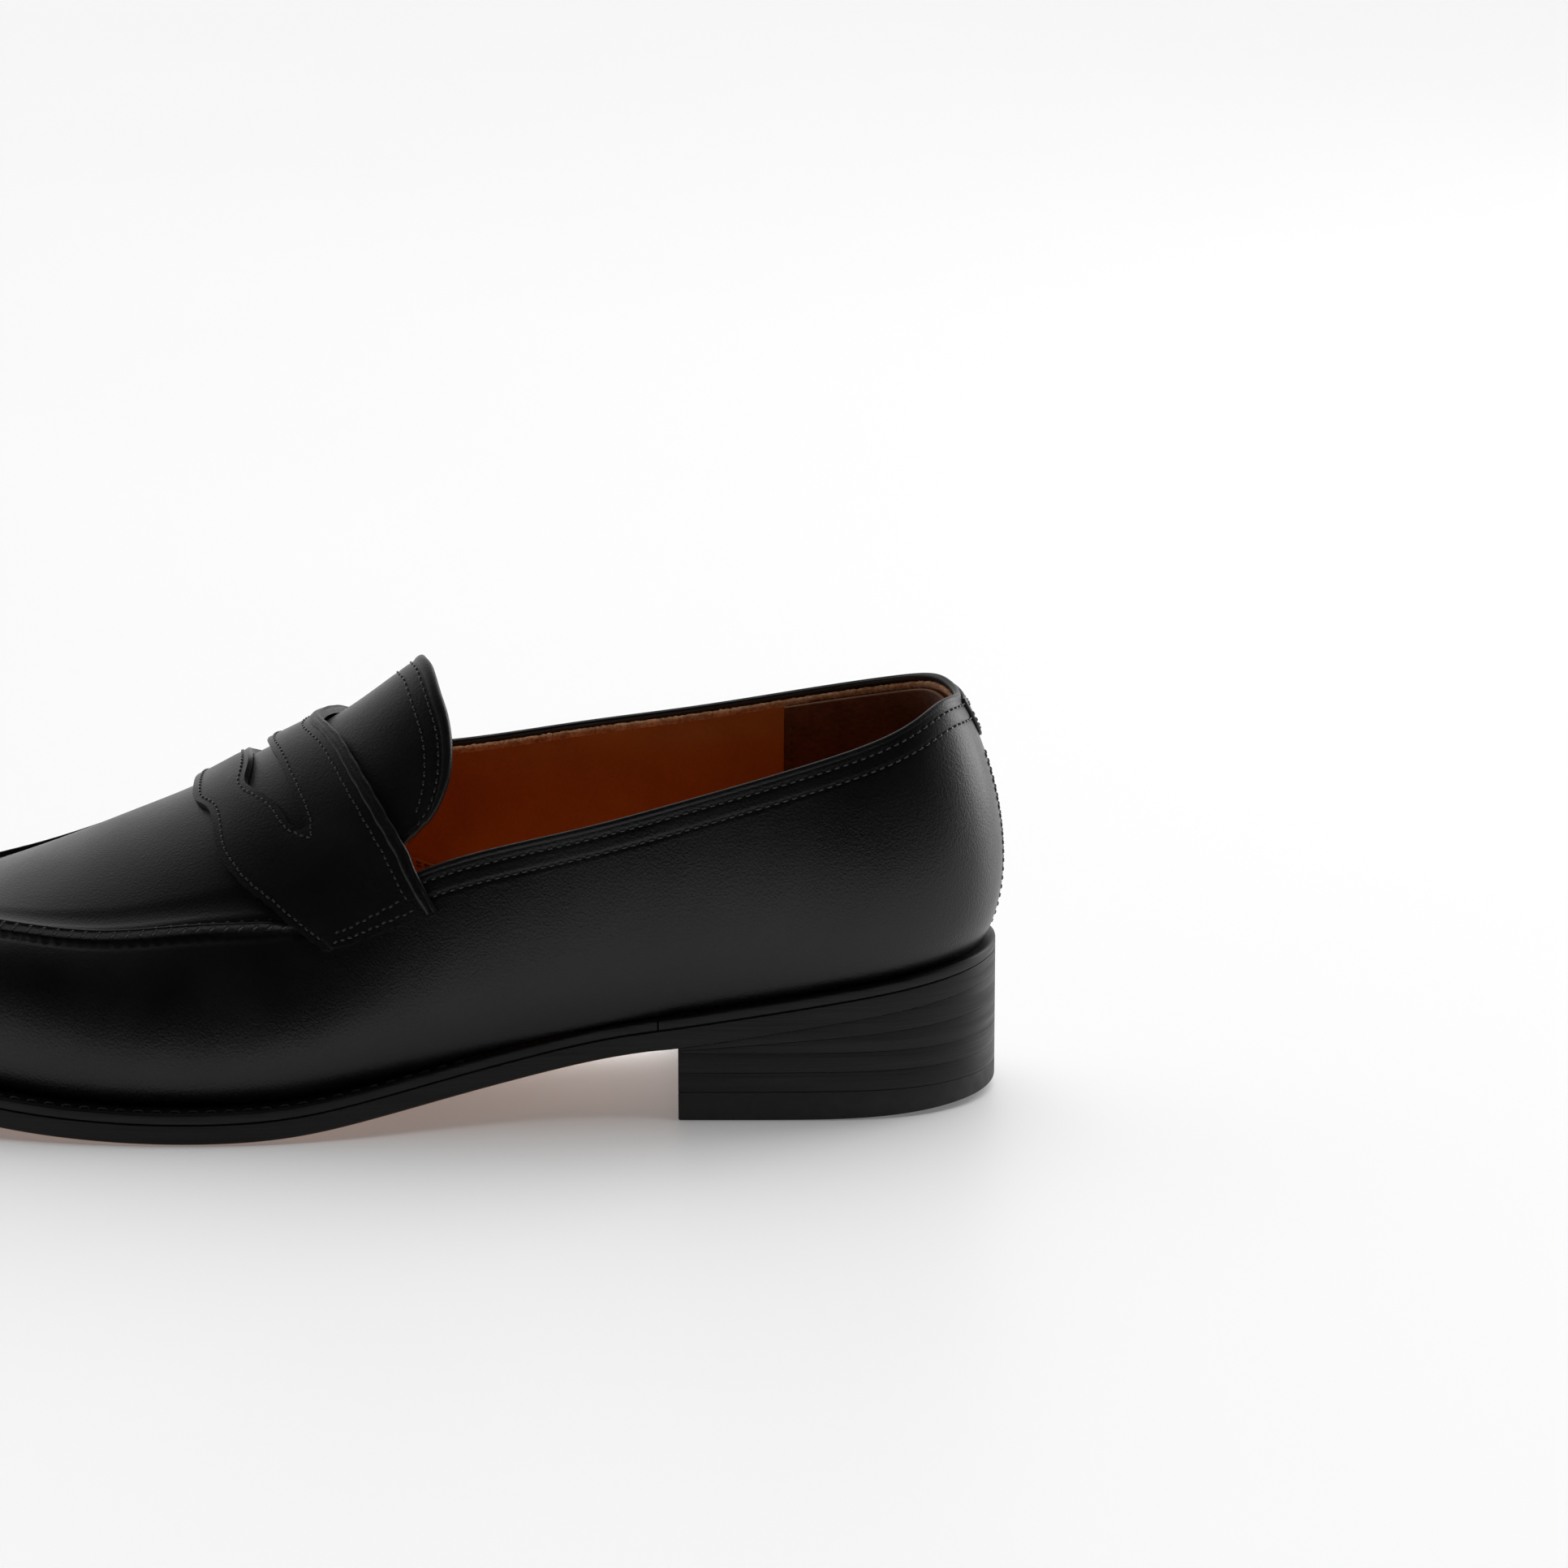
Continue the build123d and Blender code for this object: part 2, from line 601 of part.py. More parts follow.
# ---- sole and heel ----
def sole_layer(bottom, top, reach):
    return slab(above_sole(bottom), above_sole(top)) & prism(plan_outline(reach))


def make_welt(x0, x1):
    """Strip stitched round the upper, with its inner edge under the feather."""
    strip = slab(above_sole(OUTSOLE_THICK + GAP), above_sole(SOLE_THICK)) & prism(plan_outline(edge_reach))
    strip = biggest(strip) - prism(plan_outline(constant(-WELT_INSET)))
    return biggest(strip & part_of_length(x0, x1))


def make_filler(x0, x1):
    """What fills the hollow inside the welt, with a pocket for the shank."""
    fill = sole_layer(OUTSOLE_THICK + GAP, SOLE_THICK, constant(-WELT_INSET - GAP))
    pocket = Solid.make_box(SHANK_X[1] - SHANK_X[0] + 0.4, SHANK_WIDTH + 0.4, 80,
                            Plane(origin=(SHANK_X[0] - 0.2, -SHANK_WIDTH / 2 - 0.2, -10)))
    return biggest((biggest(fill) & part_of_length(x0, x1)) - pocket)


def make_shank():
    corner = Plane(origin=(SHANK_X[0], -SHANK_WIDTH / 2, -10))
    strip = Solid.make_box(SHANK_X[1] - SHANK_X[0], SHANK_WIDTH, 80, corner)
    base = OUTSOLE_THICK + 2 * GAP
    layer = slab(above_sole(base), above_sole(base + SHANK_THICK))
    return biggest(layer & strip)


def heel_bottom(x):
    return HEEL_TOE_RISE * (max(HEEL_FLAT_X - x, 0) / HEEL_FLAT_X) ** 2


def wedge(share):
    """Height of the joints in the tapered upper half of the heel."""
    flat = TOP_PIECE_THICK + 2 * FLAT_LIFT_THICK
    return lambda x: flat + (sole_height(x) - flat) * share


def heel_layer(bottom, top):
    block = slab(bottom, top, -20.0, BREAST_X) & prism(plan_outline(edge_reach))
    axis = Plane(origin=(BREAST_X + BREAST_RADIUS - BREAST_HOLLOW, 0, -10))
    return biggest(biggest(block) - Solid.make_cylinder(BREAST_RADIUS, 80, axis))


def pins(places, radius, bottom, top):
    made = []
    for x, y in places:
        made.append(Solid.make_cylinder(radius, top(x) - bottom(x), Plane(origin=(x, y, bottom(x)))))
    return made


def drilled(shape, places, radius):
    for pin in pins(places, radius + GAP, constant(-10.0), constant(60.0)):
        shape = shape - pin
    return biggest(shape)


def nail_places():
    """Nails of the top piece, a row just inside its edge and a row along the breast."""
    rim = []
    for t in np.linspace(-NAIL_ROW_REACH, NAIL_ROW_REACH, 11):
        rim.append(tuple(PLAN(t) - outward(PLAN, t) * NAIL_INSET))
    breast = [(BREAST_X - 9.0, y) for y in (-16.0, 0.0, 16.0)]
    return rim + breast


def make_parts():
    nails = nail_places()
    layers = {
        "top_piece": (lambda x: heel_bottom(x) - HEEL_CUT, constant(TOP_PIECE_THICK)),
        "heel_lift_lower": (constant(TOP_PIECE_THICK + GAP), constant(TOP_PIECE_THICK + FLAT_LIFT_THICK)),
        "heel_lift_upper": (constant(TOP_PIECE_THICK + FLAT_LIFT_THICK + GAP), wedge(0.0)),
        "heel_wedge_lower": (lambda x: wedge(0.0)(x) + GAP, wedge(0.5)),
        "heel_wedge_upper": (lambda x: wedge(0.5)(x) + GAP, lambda x: wedge(1.0)(x) - GAP),
    }
    parts = {name: heel_layer(*heights) for name, heights in layers.items()}
    floor_cut = Solid.make_box(400, 200, 10, Plane(origin=(-50, -100, -10)))
    parts["top_piece"] = drilled(biggest(parts["top_piece"] - floor_cut), nails, NAIL_RADIUS)
    nail_ends = (lambda x: heel_bottom(x) + 0.3, constant(TOP_PIECE_THICK - GAP))
    parts["top_piece_nails"] = Compound(pins(nails, NAIL_RADIUS, *nail_ends))
    parts["outsole"] = biggest(sole_layer(0.0, OUTSOLE_THICK, edge_reach))
    parts["welt"] = make_welt(RAND_X + GAP, 330.0)
    parts["heel_rand"] = make_welt(-30.0, RAND_X)
    parts["heel_seat"] = make_filler(-30.0, RAND_X)
    parts["cork_filler"] = make_filler(RAND_X + GAP, 330.0)
    parts["shank"] = make_shank()
    insole_base = SOLE_THICK + GAP
    parts["insole"] = biggest(sole_layer(insole_base, insole_base + INSOLE_THICK, constant(-INSOLE_INSET)))
    sock_base = insole_base + INSOLE_THICK + GAP
    parts["sock_liner"] = biggest(sole_layer(sock_base, sock_base + SOCK_THICK, constant(-INSOLE_INSET - 0.3)))
    for name in ("heel_lift_lower", "heel_lift_upper", "heel_wedge_lower", "heel_wedge_upper", "outsole",
                 "heel_seat", "insole"):
        parts[name] = drilled(parts[name], HEEL_NAILS, HEEL_NAIL_RADIUS)
    heel_nail_ends = (constant(TOP_PIECE_THICK + 1.0), above_sole(insole_base + INSOLE_THICK - 0.2))
    parts["heel_nails"] = Compound(pins(HEEL_NAILS, HEEL_NAIL_RADIUS, *heel_nail_ends))
    parts["skirt"] = make_skirt()
    parts["apron"] = make_apron()
    parts["apron_ridge"] = make_ridge()
    parts["strap"] = make_strap()
    parts["strap_piping"] = make_strap_piping()
    parts["tongue"] = make_tongue()
    parts["tongue_lining"] = make_tongue_lining()
    parts["tongue_binding"] = make_tongue_binding()
    parts["topline_bead"] = make_topline_bead()
    parts["heel_tab"] = make_heel_tab()
    parts["heel_counter"] = stiffener(0.0, COUNTER_REACH, 0.78)
    parts["toe_puff"] = stiffener(TOE, PUFF_REACH, 0.86)
    parts["quarter_lining_lateral"] = make_quarter_lining(True)
    parts["quarter_lining_medial"] = make_quarter_lining(False)
    parts["vamp_lining"] = make_vamp_lining()
    parts["apron_lining"] = make_apron_lining()
    parts["heel_grip"] = make_heel_grip()
    return parts


def main():
    os.makedirs("parts", exist_ok=True)
    parts = make_parts()
    box = Compound([solid for shape in parts.values() for solid in shape.solids()]).bounding_box()
    home = Location((-(box.min.X + box.max.X) / 2, -(box.min.Y + box.max.Y) / 2, 0))
    print("moved by", home.position, "size", box.size, "lowest", box.min.Z)
    for name, shape in parts.items():
        export_step(shape.moved(home), f"parts/{name}.step")


if __name__ == "__main__":
    main()
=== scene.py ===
import math

import bmesh
import bpy
import numpy as np
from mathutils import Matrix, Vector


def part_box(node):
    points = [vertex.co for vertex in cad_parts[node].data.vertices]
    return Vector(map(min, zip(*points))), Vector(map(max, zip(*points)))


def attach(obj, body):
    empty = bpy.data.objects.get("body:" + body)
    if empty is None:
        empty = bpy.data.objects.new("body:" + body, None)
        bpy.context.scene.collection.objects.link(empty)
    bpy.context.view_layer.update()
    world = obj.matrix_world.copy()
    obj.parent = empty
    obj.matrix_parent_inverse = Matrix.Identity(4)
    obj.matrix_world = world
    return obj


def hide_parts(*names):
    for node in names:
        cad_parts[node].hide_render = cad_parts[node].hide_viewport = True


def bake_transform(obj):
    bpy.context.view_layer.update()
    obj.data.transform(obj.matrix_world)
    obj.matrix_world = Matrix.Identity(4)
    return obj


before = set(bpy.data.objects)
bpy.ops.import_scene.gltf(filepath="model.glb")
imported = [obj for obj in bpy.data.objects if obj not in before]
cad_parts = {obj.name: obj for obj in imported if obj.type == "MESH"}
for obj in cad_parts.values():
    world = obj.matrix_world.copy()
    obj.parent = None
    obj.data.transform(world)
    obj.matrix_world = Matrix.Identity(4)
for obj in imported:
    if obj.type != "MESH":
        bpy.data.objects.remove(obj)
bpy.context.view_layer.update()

# Penny loafer, left shoe. The last is drawn in millimetres with X = 0 at the back of the upper; home() moves
# points from there to the frame, in metres.

# ---- driving dimensions, mm ----
LEATHER = 1.4
LINING = 0.9
WING_THICK = 0.75
STIFFENER = 1.1
GAP = 0.06
WELT_THICK = 2.8
OUTSOLE_THICK = 5.0
SOLE_THICK = WELT_THICK + OUTSOLE_THICK
TOP_PIECE_THICK = 7.0
LIFT_THICK = 4.8
INSOLE_THICK = 3.4
SOCK_THICK = 0.9
BREAST_X = 79.0
BREAST_HOLLOW = 2.0
HEEL_FLAT_X = 48.0
HEEL_TOE_RISE = 2.6
RAND_X = 84.0
WELT_INSET = 3.0
STRAP_THICK = 1.8
STRAP_LIFT = 0.3
TONGUE_LIFT = -0.55
TONGUE_THICK = 1.2
TONGUE_LINING = 0.8
TONGUE_HIDDEN = 5.5
TONGUE_GIRTHS = (-28.0, 52.0)
SLOT_GIRTHS = (-27.0, 36.5)
SLOT_ROUND = 2.2
RIDGE_ENDS = (169.5, 190.0)
BEAD_ENDS = (145.0, 147.0)
LINING_SEAM_X = 160.0
WING_FRONT_X = 172.0
BACK_SEAM = 0.15
COUNTER_REACH = 84.0      # the stiffeners and the grip, each way round from the back seam or the toe
PUFF_REACH = 84.0
GRIP_REACH = 64.0
GRIP_THICK = 0.8
TAB_REACH = 12.0
TAB_MIDDLE = -9.0
TAB_TOP = 0.985           # share of the way up the wall
TAB_DROP = 0.155
TAB_THICK = 0.8
APRON_INSET = -0.2
APRON_REAR_X = 150.0
STITCH_PITCH = 2.2
APRON_PITCH = 3.4         # hand stitches round the apron
WELT_PITCH = 4.3
THREAD = 0.27             # radii of the fine thread and of the waxed cords
APRON_CORD = 0.34
WELT_CORD = 0.48
ROWS_BELOW_EDGE = (2.1, 6.0)
TONGUE_ROWS = (2.7, 6.0)
STRAP_REAR_ROW = 4.4
STRAP_FRONT_ROW = 1.7
STRAP_END_ROWS = (2.4, 6.0)
STRAP_SLOT_ROW = 1.6
WELT_ROW = 1.9            # inside the sole's edge
FAR = 99.0                # further than anything that counts
SHARP = 60                # degrees past which an edge of a leather panel is drawn sharp
STRAP_ROWS = 230          # of the strap's mesh; the columns are those on each side of the slot
STRAP_COLUMNS = 13


class Curve:
    """A cubic spline through values at given stations: natural at its ends, or closed on itself."""

    def __init__(self, stations, values, closed=False):
        self.s = np.asarray(stations, float)
        self.v = np.asarray(values, float).reshape(len(values), -1)
        self.closed = closed
        n = len(self.v)
        h = np.diff(self.s)
        rows = np.eye(n)
        right = np.zeros_like(self.v)
        for i in range(0 if closed else 1, n if closed else n - 1):
            before, after = h[i - 1], h[i]
            rows[i] = 0
            rows[i, i - 1] += before
            rows[i, i] += 2 * (before + after)
            rows[i, (i + 1) % n] += after
            slope_after = (self.v[(i + 1) % n] - self.v[i]) / after
            slope_before = (self.v[i] - self.v[i - 1]) / before
            right[i] = 6 * (slope_after - slope_before)
        self.m = np.linalg.solve(rows, right)

    def __call__(self, at):
        at = np.asarray(at, float)
        at = at % self.s[-1] if self.closed else np.clip(at, self.s[0], self.s[-1])
        i = np.clip(np.searchsorted(self.s, at, side="right") - 1, 0, len(self.s) - 2)
        j = (i + 1) % len(self.v)
        h = (self.s[i + 1] - self.s[i])[..., None]
        a = (self.s[i + 1] - at)[..., None] / h
        b = 1 - a
        bend = (a ** 3 - a) * self.m[i] + (b ** 3 - b) * self.m[j]
        value = a * self.v[i] + b * self.v[j] + bend * h * h / 6
        return value if value.shape[-1] > 1 else value[..., 0]


def table(values, closed=False):
    return Curve(list(values), list(values.values()), closed)


# ---- the last: sole profile, crest and cross arch of the instep ----
# x: underside of the outsole above the floor
sole_height = table({-20: 32.5, 3: 29.5, 40: 24.0, 79: 17.8, 95: 15.3, 112: 12.0, 132: 8.0, 151: 4.2,
                     168: 1.35, 190: 0.06, 215: 0.45, 240: 2.4, 265: 6.0, 297: 13.0, 320: 19.5})
crest_height = table({100: 125.0, 120: 118.0, 141: 106.4, 162: 91.0, 180: 81.0, 194: 73.0, 212: 65.0,
                      231: 57.5, 247: 52.0, 263: 46.5, 275: 42.0})
crest_side = table({100: 2.0, 141: 0.0, 165: -3.0, 190: -7.0, 215: -8.0, 263: -4.0})
arch_lateral = table({100: 0.040, 141: 0.036, 165: 0.0225, 192: 0.0134, 212: 0.0098, 231: 0.0070, 247: 0.0050,
                      263: 0.0045})
arch_medial = table({100: 0.036, 141: 0.0335, 165: 0.0225, 192: 0.0180, 212: 0.0125, 231: 0.0100, 247: 0.0080,
                     263: 0.0060})
# x: how far the sole stands out past the feather line
edge_reach = table({-20: 3.0, 40: 3.0, 70: 3.0, 80: 2.7, 92: 1.8, 120: 2.5, 150: 5.0, 175: 6.3, 200: 6.5,
                    320: 6.5})

# Stations round the shoe from the back seam along the lateral side, round the toe and back: the feather line
# (x, y), the top of the wall (x, y, z; no z where it lies on the arch), and how the wall leaves the feather
# line and reaches its top (outwards, up).
STATIONS = [
    ((5.5, 0), (11.5, 0, 96.5), (8.0, 12), (11.5, 21)),
    ((10, 16), (15.5, 12.5, 97.2), (8.0, 12), (11.0, 21)),
    ((23, 26.5), (25, 21.5, 92.7), (8.0, 12), (11.0, 20)),
    ((45, 30.5), (45, 28, 86.0), (7.0, 13), (8.0, 19)),
    ((75, 31), (75, 31.5, 77.7), (6.5, 13), (5.0, 16)),
    ((105, 33), (105, 33.5, 70.0), (6.5, 13), (4.0, 15)),
    ((135, 38.5), (138, 36, 61.8), (7.0, 13), (6.0, 14)),
    ((163, 45), (163, 38), (7.0, 13), (8.5, 15.5)),
    ((190, 48), (190, 37), (6.0, 11), (11.0, 12)),
    ((216, 46.5), (214, 35.5), (5.0, 10), (13.0, 9.5)),
    ((240, 41), (234, 31.5), (4.0, 10), (14.0, 6)),
    ((262, 31), (249, 24), (3.5, 10), (14.0, 5)),
    ((280, 17.5), (259, 12), (3.5, 10), (16.0, 5)),
    ((288, 0), (262.5, -3), (3.5, 10), (17.0, 5)),
    ((282, -14.5), (259.5, -15), (3.5, 10), (16.0, 5)),
    ((266, -26.5), (250.5, -24), (4.0, 10), (12.0, 6)),
    ((244, -35.5), (236, -29.5), (4.0, 11), (10.0, 8)),
    ((218, -40.5), (216, -30.5), (5.0, 12), (10.0, 12)),
    ((192, -40.5), (192, -27), (6.0, 15), (10.0, 16)),
    ((165, -35), (165, -28), (8.0, 18), (8.0, 18)),
    ((135, -28), (136, -30, 77.5), (10.0, 20), (5.0, 20)),
    ((105, -25.5), (105, -29.5, 82.0), (9.0, 18), (4.0, 20)),
    ((75, -28), (75, -29, 86.3), (8.0, 14), (5.0, 20)),
    ((45, -29.5), (45, -27, 91.7), (7.5, 13), (8.0, 21)),
    ((23, -26.5), (24, -21.5, 96.0), (8.0, 12), (11.0, 21)),
    ((10, -16), (15, -12.5, 97.6), (8.0, 12), (11.0, 21)),
]
TOE_STATION = 13

# Flat patterns: x against the girth from the crest, measured round the instep, lateral side positive.
STRAP_RUNGS = [           # from the medial end to the lateral end: rear (x, girth) and front (x, girth)
    ((140.5, -46), (168.5, -41)), ((146.0, -38), (178.0, -33)), ((152.0, -29), (186.0, -26)),
    ((158.5, -17), (192.5, -17)), ((162.5, -8), (195.0, -8)), ((164.5, 0), (195.6, 0)),
    ((163.1, 6), (195.3, 8)), ((160.3, 12), (194.4, 13.8)), ((157.6, 18), (191.4, 18.4)),
    ((154.8, 25), (189.4, 24.8)), ((152.1, 31.5), (188.3, 32.4)), ((149.4, 38), (185.5, 39.5)),
    ((146.9, 44), (181.5, 45.7)), ((144.3, 50), (175.5, 52.5)), ((141.9, 56), (169.5, 59.5)),
    ((139.2, 64), (165.6, 64.0)), ((136.4, 72), (162.8, 67.5)),
]
slot_rear = table({-30: 170.0, -15: 174.5, 0: 177.6, 12.2: 174.4, 21.7: 171.3, 30.6: 168.1, 38: 166.0})
slot_front = table({-30: 171.5, -22: 176.5, -15: 181.0, 0: 182.2, 11.4: 181.9, 15.5: 182.0, 21.4: 178.4,
                    25.9: 174.6, 31.7: 171.4, 38: 167.0})
tongue_rear = table({-28: 153.0, -25: 150.8, -22: 148.6, -18: 145.8, -13: 143.0, -7: 141.4, 0: 140.8,
                     8: 138.8, 17.2: 136.5, 24.8: 134.4, 30.6: 133.3, 37.1: 133.0, 41.5: 133.5, 45.7: 135.0,
                     49.4: 138.5, 52: 144.0})
rung_numbers = list(range(len(STRAP_RUNGS)))
strap_rear = Curve(rung_numbers, [rear for rear, _ in STRAP_RUNGS])
strap_front = Curve(rung_numbers, [front for _, front in STRAP_RUNGS])
strap_rear_x = table({rear[1]: rear[0] for rear, _ in STRAP_RUNGS})


def lengths_along(path):
    """How far along a path each of its points is."""
    steps = np.linalg.norm(np.diff(path, axis=0), axis=1)
    return np.concatenate([[0], np.cumsum(steps)])


def unit(vectors):
    return vectors / np.linalg.norm(vectors, axis=-1, keepdims=True)


def instep(x, y):
    """Height of the instep's surface, on which the apron, the tongue and the strap lie."""
    across = y - crest_side(x)
    return crest_height(x) - np.where(across > 0, arch_lateral(x), arch_medial(x)) * across ** 2


def outward(plan, at):
    """Unit normal of the feather line, seen from above."""
    along = plan(at + 0.5) - plan(at - 0.5)
    return unit(np.stack([-along[..., 1], along[..., 0]], -1))


def make_rows():
    """The four closed rows of control points of the wall, from the feather line to the top."""
    feather = np.array([station[0] for station in STATIONS], float)
    lengths = lengths_along(np.vstack([feather, feather[:1]]))
    plan = Curve(lengths, feather, closed=True)
    rows = [[], [], [], []]
    for at, (foot, top, leave, arrive) in zip(lengths, STATIONS):
        out = np.append(outward(plan, at), 0)
        low = np.array([*foot, sole_height(foot[0]) + SOLE_THICK + GAP])
        high = np.array([*top[:2], top[2] if len(top) == 3 else instep(*top)])
        rows[0].append(low)
        rows[1].append(low + out * leave[0] + [0, 0, leave[1]])
        rows[2].append(high + out * arrive[0] - [0, 0, arrive[1]])
        rows[3].append(high)
    return lengths, plan, [Curve(lengths, row, closed=True) for row in rows]


LENGTHS, PLAN, ROWS = make_rows()
ROUND = LENGTHS[-1]
TOE = LENGTHS[TOE_STATION]


def wall_point(t, v):
    """Points of the wall's surface: a cubic Bezier arch over the four rows at each t."""
    t, v = np.broadcast_arrays(t, v)
    a, b, c, d = (row(t) for row in ROWS)
    v = np.asarray(v, float)[..., None]
    return (1 - v) ** 3 * a + 3 * v * (1 - v) ** 2 * b + 3 * v * v * (1 - v) * c + v ** 3 * d


def wall(t, v, lift=0.0):
    """Points of the upper's wall, t mm round the feather line and v of the way up, lifted off the surface."""
    v = np.asarray(v, float)
    along = wall_point(t + 0.4, v) - wall_point(t - 0.4, v)
    up = wall_point(t, np.minimum(v + 0.004, 1)) - wall_point(t, np.maximum(v - 0.004, 0))
    return wall_point(t, v) + unit(np.cross(up, along)) * np.asarray(lift, float)[..., None]


def station_at(x, lateral):
    """Where round the shoe the wall's top is at x."""
    ts = np.linspace(0, TOE, 1500) if lateral else np.linspace(ROUND, TOE, 1500)
    return np.interp(x, ROWS[3](ts)[:, 0], ts)


def foot_station(x, lateral, samples=900):
    """Where round the shoe the feather line is at x."""
    ts = np.linspace(0 if lateral else ROUND, TOE, samples)
    return np.interp(x, PLAN(ts)[:, 0], ts)


def below_top(t, distance):
    """The share of the way up the wall that lies a distance below its top."""
    slope = np.linalg.norm(wall_point(t, 1.0) - wall_point(t, 0.96), axis=-1) / 0.04
    return 1 - distance / slope


def arch_to_wall(lateral, arch):
    """The arch that meets the wall's top at every x, up to where the seam turns round the toe."""
    values = {}
    for x in range(100, 236, 5):
        top = wall_point(station_at(x, lateral), 1.0)
        values[x] = (crest_height(x) - top[2]) / (top[1] - crest_side(x)) ** 2
    for x in (250, 263, 275):
        values[x] = arch(x)
    return table(values)


arch_lateral, arch_medial = arch_to_wall(True, arch_lateral), arch_to_wall(False, arch_medial)


def instep_lifted(x, y, lift):
    """Points of the instep, lifted along the normal."""
    slope_x = instep(x + 0.5, y) - instep(x - 0.5, y)
    slope_y = instep(x, y + 0.5) - instep(x, y - 0.5)
    normal = unit(np.stack([-slope_x, -slope_y, np.ones_like(slope_x)], -1))
    return np.stack([x, y, instep(x, y)], -1) + normal * np.asarray(lift, float)[..., None]


class Instep:
    """Points of the instep by x and by the girth from its crest."""

    FIRST_X, LAST_X = 110, 240
    GIRTHS = np.arange(-95, 110, 0.25)

    def __init__(self):
        sections = [self.section(x) for x in range(self.FIRST_X, self.LAST_X)]
        self.points = np.array([[np.interp(self.GIRTHS, girth, points[:, k]) for k in range(3)]
                                for girth, points in sections])

    def section(self, x):
        """The upper's section at x, from low on the medial wall over the crest to low on the lateral wall."""
        rise = np.linspace(0.35, 1, 40)
        left = wall_point(station_at(x, True), rise)
        right = wall_point(station_at(x, False), rise[::-1])
        between = np.linspace(left[-1][1], right[0][1], 120)[1:-1]
        middle = np.stack([np.full_like(between, x), between, instep(np.full_like(between, x), between)], -1)
        points = np.vstack([left, middle, right])
        girth = lengths_along(points)
        # the crest is where the section crosses the crest's line, on top and not low on a wall
        low = points[:, 2] < crest_height(x) - 3
        crest = np.argmin(np.abs(points[:, 1] - crest_side(x)) + FAR * low)
        return girth[crest] - girth[::-1], points[::-1]

    def point(self, x, girth):
        """Points of the surface itself: linear along the girth, cubic from section to section."""
        x, girth = np.broadcast_arrays(np.asarray(x, float), np.asarray(girth, float))
        column = (girth - self.GIRTHS[0]) / (self.GIRTHS[1] - self.GIRTHS[0])
        g0 = np.clip(np.floor(column).astype(int), 0, len(self.GIRTHS) - 2)
        gf = (column - g0)[..., None]
        x0 = np.clip(np.floor(x).astype(int) - self.FIRST_X, 1, len(self.points) - 3)
        f = (x - self.FIRST_X - x0)[..., None]
        weights = (((2 - f) * f - 1) * f / 2, ((3 * f - 5) * f * f + 2) / 2,
                   ((4 - 3 * f) * f + 1) * f / 2, (f - 1) * f * f / 2)
        total = 0
        for k, weight in enumerate(weights):
            row = self.points[x0 + k - 1]
            low = np.take_along_axis(row, g0[..., None, None], -1)[..., 0]
            high = np.take_along_axis(row, g0[..., None, None] + 1, -1)[..., 0]
            total = total + weight * (low * (1 - gf) + high * gf)
        return total

    def __call__(self, x, girth, lift=0.0):
        """Points lifted off the surface along its normal."""
        x, girth = np.broadcast_arrays(np.asarray(x, float), np.asarray(girth, float))
        ahead = self.point(x + 1.5, girth) - self.point(x - 1.5, girth)
        across = self.point(x, girth + 1.5) - self.point(x, girth - 1.5)
        return self.point(x, girth) + unit(np.cross(ahead, across)) * np.asarray(lift, float)[..., None]


on_instep = Instep()


def shift_to_frame():
    """What the CAD skirt's box says the last was moved by."""
    low, high = (np.array(corner) * 1000 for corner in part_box("skirt"))
    own = wall_point(*np.meshgrid(np.linspace(0, ROUND, 700), np.linspace(0, 1, 60))).reshape(-1, 3)
    return (low + high) / 2 - (own.min(0) + own.max(0)) / 2


SHIFT = shift_to_frame()
SHIFT[2] = 0.0


def home(points):
    """Points of the last in the frame: metres, moved as the CAD moved them."""
    return (np.asarray(points, float) + SHIFT) / 1000


# ---- meshes ----
def add_mesh(name, points, faces, sharp=None):
    """A new object; sharp is the angle past which an edge is drawn sharp."""
    mesh = bpy.data.meshes.new(name)
    mesh.from_pydata(home(points).tolist(), [], [tuple(face) for face in faces])
    made = bpy.data.objects.new(name, mesh)
    bpy.context.scene.collection.objects.link(made)
    tidy_mesh(mesh)
    if sharp is not None:
        mesh.set_sharp_from_angle(angle=math.radians(sharp))
    return made


def tidy_mesh(mesh):
    """Welds doubled points, turns the faces outward and shades them smooth."""
    work = bmesh.new()
    work.from_mesh(mesh)
    bmesh.ops.remove_doubles(work, verts=work.verts, dist=1e-6)
    bmesh.ops.recalc_face_normals(work, faces=work.faces)
    for face in work.faces:
        face.smooth = True
    work.to_mesh(mesh)
    work.free()


def grid_faces(rows, columns, around=False):
    """Quads of a grid; around joins the last column to the first."""
    index = np.arange(rows * columns).reshape(rows, columns)
    if around:
        index = np.hstack([index, index[:, :1]])
    quads = np.stack([index[:-1, :-1], index[1:, :-1], index[1:, 1:], index[:-1, 1:]], -1)
    return quads.reshape(-1, 4).tolist()


def swept(name, rings, sharp=None):
    """A tube through rings of points, whose point i faces point -1 - i; its ends are closed with strips."""
    count, around = rings.shape[:2]
    faces = grid_faces(count, around, True)
    for start in (0, (count - 1) * around):
        faces += [(start + i, start + i + 1, start + around - 2 - i, start + around - 1 - i)
                  for i in range(around // 2 - 1)]
    return add_mesh(name, rings.reshape(-1, 3), faces, sharp)


def panel(name, rings):
    """A tube through rings of points, whose two end rings are closed by one face each."""
    count, around = rings.shape[:2]
    faces = grid_faces(count, around, True)
    faces.append(tuple(range(around)))
    faces.append(tuple((count - 1) * around + np.arange(around)[::-1]))
    return add_mesh(name, rings.reshape(-1, 3), faces, SHARP)


